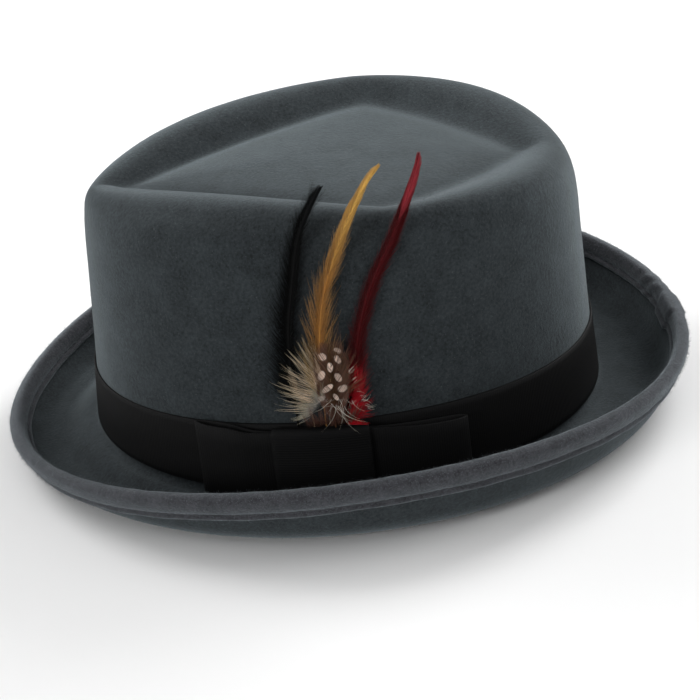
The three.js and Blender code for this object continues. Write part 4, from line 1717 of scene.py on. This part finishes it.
@dataclass
class Feather:
    """A feather: its shaft, its vane, its loose tufts and the sprays round its foot.

    Attributes:
        name: What the names of its pieces begin with.
        node: The solid that it stands for.
        slot: The material slot.
        finish: The finish of its barbs.
        quill: The finish of its shaft.
        blade: The shaft and the vane.
        tufts: The loose tufts along the shaft.
        sprays: The sprays.
        seed: The seed of all that is random.
    """

    name: str
    node: str
    slot: Slot
    finish: DyedBarbs
    quill: Quill
    blade: Blade
    tufts: tuple[Tufts, ...] = ()
    sprays: tuple[Spray, ...] = ()
    seed: int = 1

    def centreline(self, wall: LeftWall, count: int = 600) -> Centreline:
        """Samples the shaft.

        Args:
            wall: The wall that the feather lies on.
            count: How many points to take.

        Returns:
            The samples.
        """
        rows = np.array(self.blade.rows)
        samples = through_knots(rows[:, :3], np.linspace(0, 1, count))
        widths = np.interp(np.linspace(0, 1, count), np.linspace(0, 1, len(rows)), rows[:, 3])
        points = np.array([wall.place(*sample) for sample in samples])
        tangent = unit(np.gradient(points, axis=0))
        heights = np.minimum(samples[:, 1], wall.straight_above)
        away = np.array([wall.outward(y, h) for y, h in zip(samples[:, 0], heights)])
        away -= tangent * (away * tangent).sum(1, keepdims=True)
        return Centreline(points, tangent, unit(away), widths, run_along(points))

    def first(self, line: Centreline) -> float:
        """The distance along the shaft at which the vane starts."""
        share = (self.blade.vane_from - 0.6) / (len(self.blade.rows) - 1)
        return float(line.run[int(share * len(line.run))])

    def vane(self, line: Centreline) -> Barbs:
        """Lays the barbs of the vane, which cling together but for a few splits.

        Args:
            line: The shaft.

        Returns:
            The barbs.
        """
        random = np.random.default_rng(self.seed)
        barbs = Barbs()
        first, last = self.first(line), float(line.run[-1])
        stops = np.arange(first, last - self.blade.shortest, self.blade.pitch)
        for side in (-1, 1):
            web_ends, opened, length = first, 0.0, 1.0
            for at in stops:
                station = (at - first) / (last - first)
                if at >= web_ends:
                    web_ends = at + random.uniform(*self.blade.webs)
                    opened = min(random.exponential(self.blade.splits), self.blade.widest_split)
                    opened *= 1 - 0.75 * station
                    length = 1 + random.normal(0, self.blade.uneven)
                i = line.index(at)
                base = self.blade.angle_foot + (self.blade.angle_tip - self.blade.angle_foot) * station
                angle = math.radians(base + opened)
                reach = line.widths[i] / 2 / math.sin(math.radians(base)) * length
                # No barb reaches past the feather's tip
                reach = max(min(reach, (last - at) / math.cos(angle) + 0.3), self.blade.shortest)
                out = math.cos(angle) * line.tangent[i] + side * math.sin(angle) * line.across[i]
                out += line.away[i] * random.normal(0.015, 0.012)
                root = line.points[i]
                barbs.add(root, root + out * reach, line.tangent[i], random.random(), station)
        return barbs

    def loose(self, line: Centreline, tufts: Tufts) -> Barbs:
        """Lays a row of loose tufts on each side of the shaft.

        Args:
            line: The shaft.
            tufts: The row.

        Returns:
            The barbs.
        """
        random = np.random.default_rng(self.seed + 40 + tufts.strands)
        barbs = Barbs()
        first = self.first(line)
        length = float(line.run[-1]) - first
        for side, fullness in ((1, tufts.front), (-1, tufts.back)):
            for at in np.arange(first + tufts.begin * length, first + tufts.until * length, tufts.pitch):
                if random.random() > fullness:
                    continue
                place = at + random.normal(0, 0.35) * tufts.pitch
                share = float(np.clip((at - first) / length / tufts.until, 0, 1))
                i = line.index(place)
                angle = math.radians(np.interp(share, [0, 1], tufts.angles) * random.uniform(0.75, 1.2))
                reach = np.interp(share, [0, 1], tufts.reach) * random.uniform(0.6, 1.1)
                out = math.cos(angle) * line.tangent[i] + side * math.sin(angle) * line.across[i]
                out += line.away[i] * tufts.lift * random.uniform(0.0, 1.6)
                tip = line.points[i] + out * reach
                behind = np.linspace(-0.5, 0.5, tufts.strands) * tufts.pitch * 1.1
                starts = [line.points[line.index(place + step)] for step in behind]
                barbs.tuft(random, starts, tip, line.tangent[i], (at - first) / length)
        return barbs

    def spray(self, wall: LeftWall, spray: Spray) -> Barbs:
        """Lays one spray.

        Args:
            wall: The wall that the feather lies on.
            spray: The spray.

        Returns:
            The barbs.
        """
        random = np.random.default_rng(self.seed + 90 + spray.count)
        barbs = Barbs()
        for share in np.linspace(0, 1, spray.count):
            place = np.array(spray.start) * (1 - share) + np.array(spray.end) * share
            place = place + random.normal(0, spray.scatter, 3) * [1, 1, 0.4]
            root = wall.place(*place)
            away = wall.outward(place[0], min(place[1], wall.straight_above))
            up = wall.place(place[0], place[1] + 1, place[2]) - root
            up /= np.linalg.norm(up)
            rear = np.cross(up, away)
            degrees = spray.angles[0] * (1 - share) + spray.angles[1] * share + random.normal(0, spray.stray)
            angle = math.radians(degrees)
            out = math.cos(angle) * up + math.sin(angle) * rear + away * spray.lift * random.uniform(0.1, 1.7)
            aside = math.cos(angle) * rear - math.sin(angle) * up
            tip = root + out * random.uniform(*spray.reach)
            starts = [root + aside * step * spray.spread for step in np.linspace(-0.5, 0.5, spray.strands)]
            toward = aside * random.choice([-1, 1]) if spray.curly else up + aside * 0.1
            barbs.tuft(random, starts, tip, toward, spray.station, 0.02)
        return barbs

    def shaft(self, line: Centreline) -> Object:
        """Makes the shaft as a tapering tube, a little flat.

        Args:
            line: The shaft's line.

        Returns:
            The piece.
        """
        rings, sides = 60, 8
        keep = np.linspace(0, len(line.run) - 1, rings).astype(int)
        points, away, across = line.points[keep], line.away[keep, None], line.across[keep, None]
        around = full_turn(sides)[None, :, None]
        radius = (self.blade.shaft * np.linspace(1, 0.2, rings) ** 0.8)[:, None, None]
        ring = np.cos(around) * across + 0.8 * np.sin(around) * away
        tube = Skin(f"{self.name}_shaft", points[:, None] + radius * ring, poles=(points[0], points[-1]))
        return tube.build(self.quill.make())

    def build(self, wall: LeftWall, tree: NodeTree) -> None:
        """Makes the shaft, the vane, the tufts and the sprays.

        Args:
            wall: The wall that the feather lies on.
            tree: The tree that grows barbs.
        """
        material = self.finish.make()

        def plant(name: str, barbs: Barbs, values: dict[str, object], *nodes: str) -> None:
            """Grows barbs as one piece.

            Args:
                name: What the piece is.
                barbs: The barbs.
                values: The tree's inputs by name.
                nodes: The solids that it stands for.
            """
            base = barbs.build(f"{self.name}_{name}")
            dress(grow(base, tree, {**values, "Material": material}), self.slot, *nodes)

        line = self.centreline(wall)
        plant("vane", self.vane(line), {
            "Bend": 0.1, "Thickness": self.blade.thickness, "Steps": 5, "Length Spread": 0.03,
            "Angle Spread": 0.02, "Lift Spread": 0.012, "Seed": self.seed}, self.node)
        dress(self.shaft(line), self.slot)
        for number, tufts in enumerate(self.tufts, 1):
            plant(f"tufts_{number}", self.loose(line, tufts), {
                "Bend": tufts.bend, "Thickness": tufts.thickness, "Steps": 6, "Length Spread": 0.03,
                "Angle Spread": 0.015, "Lift Spread": 0.02, "Seed": self.seed + 7})
        for spray in self.sprays:
            plant(spray.name, self.spray(wall, spray), {
                "Bend": spray.bend, "Thickness": spray.thickness, "Steps": 8 if spray.curly else 5,
                "Length Spread": 0.04, "Angle Spread": 0.02, "Lift Spread": 0.03,
                "Seed": self.seed + spray.count})


def black_feather() -> Feather:
    """Gives the black hackle, whose front edge is soft.

    Returns:
        The feather.
    """
    return Feather(
        "black_feather", "feather_black", Slot.BLACK,
        # The faint teal of the tip is a painted sheen on the black dye
        DyedBarbs("black_hackle", root="#040505", body="#050606", tip="#080c0e", fringe="#050606",
                  fringe_share=0.2, gleam=0.06),
        Quill("dark_quill", "#050505"),
        Blade((
            (-20, 28, 2.1, 1.6), (-20, 41, 2.1, 1.8), (-20.2, 50, 1.5, 5), (-19.2, 72, 1.5, 5.4),
            (-16.2, 88, 1.5, 5.2), (-11.2, 109, 1.5, 4.6), (-6, 120, 1.5, 3.8), (-1.2, 127.5, 1.5, 0.7),
        )),
        tufts=(
            Tufts(reach=(15, 10), angles=(40, 26), until=0.85, pitch=0.6, strands=2, back=0.2),
            Tufts(reach=(15, 10), angles=(50, 24), until=0.92, pitch=0.1, strands=1, back=0.25,
                  thickness=0.005),
        ),
        seed=3,
    )


def red_feather() -> Feather:
    """Gives the red hackle, dark and soft below, with bright fluff at its foot.

    Returns:
        The feather.
    """
    return Feather(
        "red_feather", "feather_red", Slot.RED,
        # The pale pink tip above the crown's crest, and the sharp turn to it, are painted light; the dark
        # crimson below is dye with painted shade
        DyedBarbs("red_hackle", root="#c01222", body="#52040a", tip="#b03a44", fringe="#5c060c",
                  fringe_share=0.35, gleam=0.1, turns=(0.06, 0.14, 0.72, 0.8)),
        Quill("red_quill", "#3c0508"),
        Blade((
            (-2.2, 28, 2.1, 1.6), (-1.6, 41, 2.1, 1.8), (2.2, 50, 1.6, 4.5), (6.2, 70, 1.5, 5),
            (12.4, 87, 1.5, 5.6), (20.8, 103, 1.5, 6), (27.6, 117, 1.5, 5), (32, 127, 1.5, 3.4),
            (34.8, 136, 1.5, 0.5),
        )),
        tufts=(
            Tufts(reach=(10, 9), angles=(34, 24), until=0.72, pitch=0.11, strands=1, back=1.0),
            Tufts(reach=(10, 8), angles=(30, 22), begin=0.1, until=0.74, pitch=0.8, strands=3, front=0.8),
        ),
        sprays=(
            Spray("foot_fluff", 34, start=(-1.5, 38.5, 3.8), end=(3.5, 52, 3.6), angles=(106, 2),
                  reach=(4, 8.5), lift=0.25, station=0.02, bend=0.16, strands=7, spread=2.4, thickness=0.016,
                  stray=8),
            Spray("foot_tips", 26, start=(0, 40, 4.6), end=(3.5, 52, 4.4), angles=(100, 20), reach=(6, 10),
                  lift=0.3, station=0.0, bend=0.2, strands=2, spread=0.8, thickness=0.009, stray=9),
        ),
        seed=5,
    )


def gold_feather() -> Feather:
    """Gives the gold hackle, close at its tip and loose below.

    Returns:
        The feather.
    """
    return Feather(
        "gold_feather", "feather_gold", Slot.GOLD,
        # The pale tip is partly the dye and partly painted light where the feather rises above the crown's
        # crest
        DyedBarbs("gold_hackle", root="#ab9060", body="#a06826", tip="#f0bc5c", fringe="#e0b870",
                  fringe_share=0.4, gleam=0.2, turns=(0.08, 0.22, 0.48, 0.85)),
        Quill("horn_quill", "#a8783c"),
        Blade((
            (-9.6, 28, 2.1, 1.6), (-9.8, 41, 2.1, 1.8), (-9.4, 50, 3.4, 3.4), (-8.4, 67, 3.4, 4.2),
            (-5.2, 85, 3.4, 5.4), (0.2, 99.5, 3.4, 6), (4.6, 110, 3.4, 5.6), (8.6, 118, 3.4, 4),
            (13.8, 127, 3.4, 3.3), (20, 134.8, 3.4, 0.5),
        ), angle_foot=22, shaft=0.3, splits=1.2),
        tufts=(
            Tufts(reach=(18, 12), angles=(34, 17), until=0.62, pitch=1.25, strands=3, back=0.85),
            Tufts(reach=(16, 11), angles=(28, 15), until=0.8, pitch=1.3, strands=2, front=0.85, back=0.7),
            Tufts(reach=(16, 13), angles=(42, 26), until=0.5, pitch=0.9, strands=1, back=0.9,
                  thickness=0.0055),
        ),
        seed=8,
    )


def down_feather() -> Feather:
    """Gives the pale fan to the front of the bunch, its grey down and the white threads that hang from it.

    Returns:
        The feather.
    """
    return Feather(
        "down_feather", "feather_down", Slot.DOWN,
        DyedBarbs("pale_hackle", root="#aaa49e", body="#ffdcba", tip="#fffaf0", fringe="#ece2b4",
                  fringe_share=0.55, turns=(0.1, 0.3, 0.7, 0.95)),
        Quill("pale_quill", "#8c7c62"),
        Blade((
            (-14.2, 28, 2.1, 1.6), (-14.6, 41, 2.1, 1.8), (-16.6, 45, 3.4, 3), (-19, 52, 3.2, 4),
            (-20.5, 60, 3, 1),
        ), pitch=0.7, angle_foot=32, angle_tip=24, shaft=0.2, splits=4, thickness=0.012),
        sprays=(
            Spray("fan", 26, start=(-15, 44, 3.2), end=(-10, 62, 3), angles=(-86, -22), reach=(8, 15),
                  lift=0.08, station=0.75, bend=0.1, strands=2, spread=0.9, thickness=0.0065, stray=6),
            Spray("fine_fan", 64, start=(-15, 44, 3.6), end=(-9, 62, 3.4), angles=(-90, -16), reach=(7, 15),
                  lift=0.12, station=0.85, bend=0.16, thickness=0.005, stray=9),
            Spray("near_fan", 26, start=(-12.5, 46, 5.4), end=(-9.5, 58, 5.6), angles=(-76, -12),
                  reach=(4, 8.5), lift=0.12, station=0.5, bend=0.12, strands=3, spread=1.2, thickness=0.008,
                  stray=8),
            Spray("grey_down", 60, start=(-15.5, 42.5, 5.4), end=(-9.5, 48.5, 6.2), angles=(-130, -30),
                  reach=(2.5, 7), lift=0.14, station=0.0, bend=0.3, strands=5, spread=1.8, thickness=0.008,
                  stray=20),
            Spray("threads", 13, start=(-7.5, 47, 7.2), end=(-2.6, 45, 7.2), angles=(204, 150),
                  reach=(4.5, 9), lift=0.4, station=1.0, bend=0.6, thickness=0.0062, stray=28),
            Spray("short_threads", 14, start=(-9.5, 49, 7), end=(0.5, 47.5, 7), angles=(250, 120),
                  reach=(2, 4.2), lift=0.4, station=1.0, bend=0.7, thickness=0.01, stray=44),
            Spray("curls", 13, start=(3.2, 50, 6.4), end=(5.6, 43, 5.8), angles=(56, 104), reach=(2, 3.8),
                  lift=0.4, station=1.0, bend=0.6, thickness=0.013, stray=20),
        ),
        seed=11,
    )


def spotted_feather() -> Feather:
    """Gives the brown feather with pale spots, in front of the others.

    Returns:
        The feather.
    """
    return Feather(
        "spotted_feather", "feather_spotted", Slot.SPOTTED,
        SpottedBarbs("spotted_plumage", root="#46281c", body="#38240f", tip="#5c4226", fringe="#d8a290",
                     gleam=0.08),
        Quill("brown_quill", "#4c3526"),
        Blade((
            (-6.6, 28, 2.1, 1.6), (-6.2, 37, 4.4, 2), (-5.8, 41.5, 5.4, 12.5), (-5.4, 50, 5.6, 14.5),
            (-5.3, 57, 5.4, 12), (-5.2, 63, 5, 7.5), (-5.2, 69, 4.6, 2.5),
        ), pitch=0.27, angle_foot=44, angle_tip=24, shaft=0.35, splits=6),
        tufts=(
            Tufts(reach=(11, 12), angles=(50, 26), until=1.0, pitch=0.8, strands=2, front=0.3, back=1.0,
                  lift=0.12),
        ),
        sprays=(
            Spray("side_barbs", 26, start=(-2, 49, 5.6), end=(-2, 63, 5.4), angles=(78, 14), reach=(8, 13),
                  lift=0.16, station=1.0, bend=0.1, strands=2, spread=0.8, thickness=0.007, stray=8),
            Spray("foot_barbs", 44, start=(-14, 38.4, 6.2), end=(0, 38.6, 6.2), angles=(-54, 50),
                  reach=(4, 8.5), lift=0.1, station=0.0, bend=0.2, strands=4, spread=1.8, thickness=0.012,
                  stray=14),
        ),
        seed=17,
    )


# Studio


# The middle of the hat in metres, at which the camera and the lights point
HAT_MIDDLE = (0.0, 0.0, 0.05)


@dataclass(frozen=True)
class PhotoView:
    """The photograph's view: from the wearer's left, above the brim, with the hat tipped a little.

    Attributes:
        elevation: Degrees above the horizon.
        roll: Degrees by which the view is turned.
        distance: From the target, in metres.
        focal: The focal length in pixels.
        picture: The width of the picture in pixels.
        target: The point that the camera is set up round.
        shift_x: How far the target lies to the right of the picture's middle, in pixels.
        shift_y: How far it lies above the middle.
    """

    elevation: float = 26.0
    roll: float = 6.97
    distance: float = 1.0
    focal: float = 2490.0
    picture: float = 700.0
    target: tuple[float, float, float] = HAT_MIDDLE
    shift_x: float = -13.5
    shift_y: float = -62.0

    def build(self) -> None:
        """Makes the camera and sets it as the scene's own."""
        e, r = math.radians(self.elevation), math.radians(self.roll)
        back = Vector((math.cos(e), 0, math.sin(e)))
        right, up = Vector((0, 1, 0)), Vector((-math.sin(e), 0, math.cos(e)))
        tipped_right = math.cos(r) * right - math.sin(r) * up
        tipped_up = math.cos(r) * up + math.sin(r) * right
        target = Vector(self.target)
        location = target + back * self.distance
        scale = self.distance / self.focal
        aim = target - tipped_right * self.shift_x * scale + tipped_up * self.shift_y * scale
        z = (location - aim).normalized()
        y = (tipped_up - z * tipped_up.dot(z)).normalized()
        x = y.cross(z)
        data = bpy.data.cameras.new("camera")
        data.sensor_fit = "HORIZONTAL"
        data.lens = self.focal / self.picture * data.sensor_width
        data.clip_start, data.clip_end = 0.05, 50
        camera = bpy.data.objects.new("camera", data)
        camera.matrix_world = Matrix.Translation(location) @ Matrix((x, y, z)).transposed().to_4x4()
        bpy.context.collection.objects.link(camera)
        bpy.context.scene.camera = camera


@dataclass(frozen=True)
class SoftBox:
    """A square area light that points at the hat.

    Attributes:
        name: The name of the light.
        place: Where it hangs, in metres.
        size: The length of its side, in metres.
        power: Its power in watts.
    """

    name: str
    place: tuple[float, float, float]
    size: float
    power: float

    def build(self) -> None:
        """Makes the light."""
        data = bpy.data.lights.new(self.name, "AREA")
        data.size, data.energy = self.size, self.power
        lamp = bpy.data.objects.new(self.name, data)
        lamp.location = self.place
        lamp.rotation_mode = "QUATERNION"
        lamp.rotation_quaternion = (Vector(HAT_MIDDLE) - lamp.location).to_track_quat("-Z", "Y")
        bpy.context.collection.objects.link(lamp)


@dataclass(frozen=True)
class Studio:
    """A pale floor, soft boxes and a very faint white surround.

    Attributes:
        surround: The strength of the surround.
        boxes: The lights.
        half_floor: Half the side of the floor, in metres.
    """

    surround: float = 0.01
    boxes: tuple[SoftBox, ...] = (
        SoftBox("top_box", (0, 0, 3.0), 5.0, 48),
        SoftBox("back_left_box", (-0.75, -0.8, 0.75), 0.7, 8.5),
        SoftBox("back_right_box", (-0.75, 0.8, 0.75), 0.7, 13.3),
        SoftBox("left_box", (0, -1.1, 0.7), 0.7, 1.8),
        SoftBox("right_box", (0, 1.1, 0.7), 0.7, 4.4),
        SoftBox("near_right_box", (0.85, 1.0, 0.4), 0.5, 2.8),
        SoftBox("near_left_box", (0.85, -1.0, 0.4), 0.5, 7.4),
    )
    half_floor: float = 6.0

    def build(self) -> None:
        """Makes the floor, the lights and the surround."""
        h = self.half_floor
        mesh = bpy.data.meshes.new("floor")
        mesh.from_pydata([(-h, -h, 0), (h, -h, 0), (h, h, 0), (-h, h, 0)], [], [(0, 1, 2, 3)])
        mesh.materials.append(PaperSweep().make())
        link("floor", mesh)
        for box in self.boxes:
            box.build()
        world = bpy.data.worlds.new("surround")
        world.use_nodes = True
        background = world.node_tree.nodes["Background"]
        background.inputs["Color"].default_value = (1, 1, 1, 1)
        background.inputs["Strength"].default_value = self.surround
        bpy.context.scene.world = world
        bpy.context.scene.view_settings.view_transform = "Standard"


def main() -> None:
    """Builds the hat and its studio."""
    logging.basicConfig(level=logging.INFO, format="%(name)s: %(message)s")
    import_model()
    form = HatForm()
    wall = LeftWall(form)
    nap = nap_tree()
    felt = WoolFelt("blocked_wool_felt", dark="#131618", light="#343a3d").make()
    cap = FeltCap(form).build(felt)
    cap_nap = Nap("felt_nap", Slot.FELT, density=150000, length=1.1, thickness=0.07, lean=1.25)
    cap_nap.build(cap, nap, felt)
    fleece = WoolFelt("binding_felt", dark="#222326", light="#4c4c51", fleck=1.1, cloud=5.0, depth=0.45,
                      sheen=0.8).make()
    binding = EdgeBinding(form).build(fleece)
    edge_nap = Nap("binding_nap", Slot.BINDING, density=900000, length=1.7, thickness=0.08, lean=1.0)
    edge_nap.build(binding, nap, fleece)
    RibbonBand(form).build(Grosgrain("black_grosgrain").make())
    bow = SideBow(wall)
    bow.loop(Grosgrain("black_grosgrain_bow").make())
    bow.knot(Grosgrain("black_grosgrain_strip", RibRun.LEVEL).make())
    tree = barb_tree()
    for feather in (black_feather(), red_feather(), gold_feather(), down_feather(), spotted_feather()):
        feather.build(wall, tree)
    Studio().build()
    PhotoView().build()


if __name__ == "__main__":
    main()
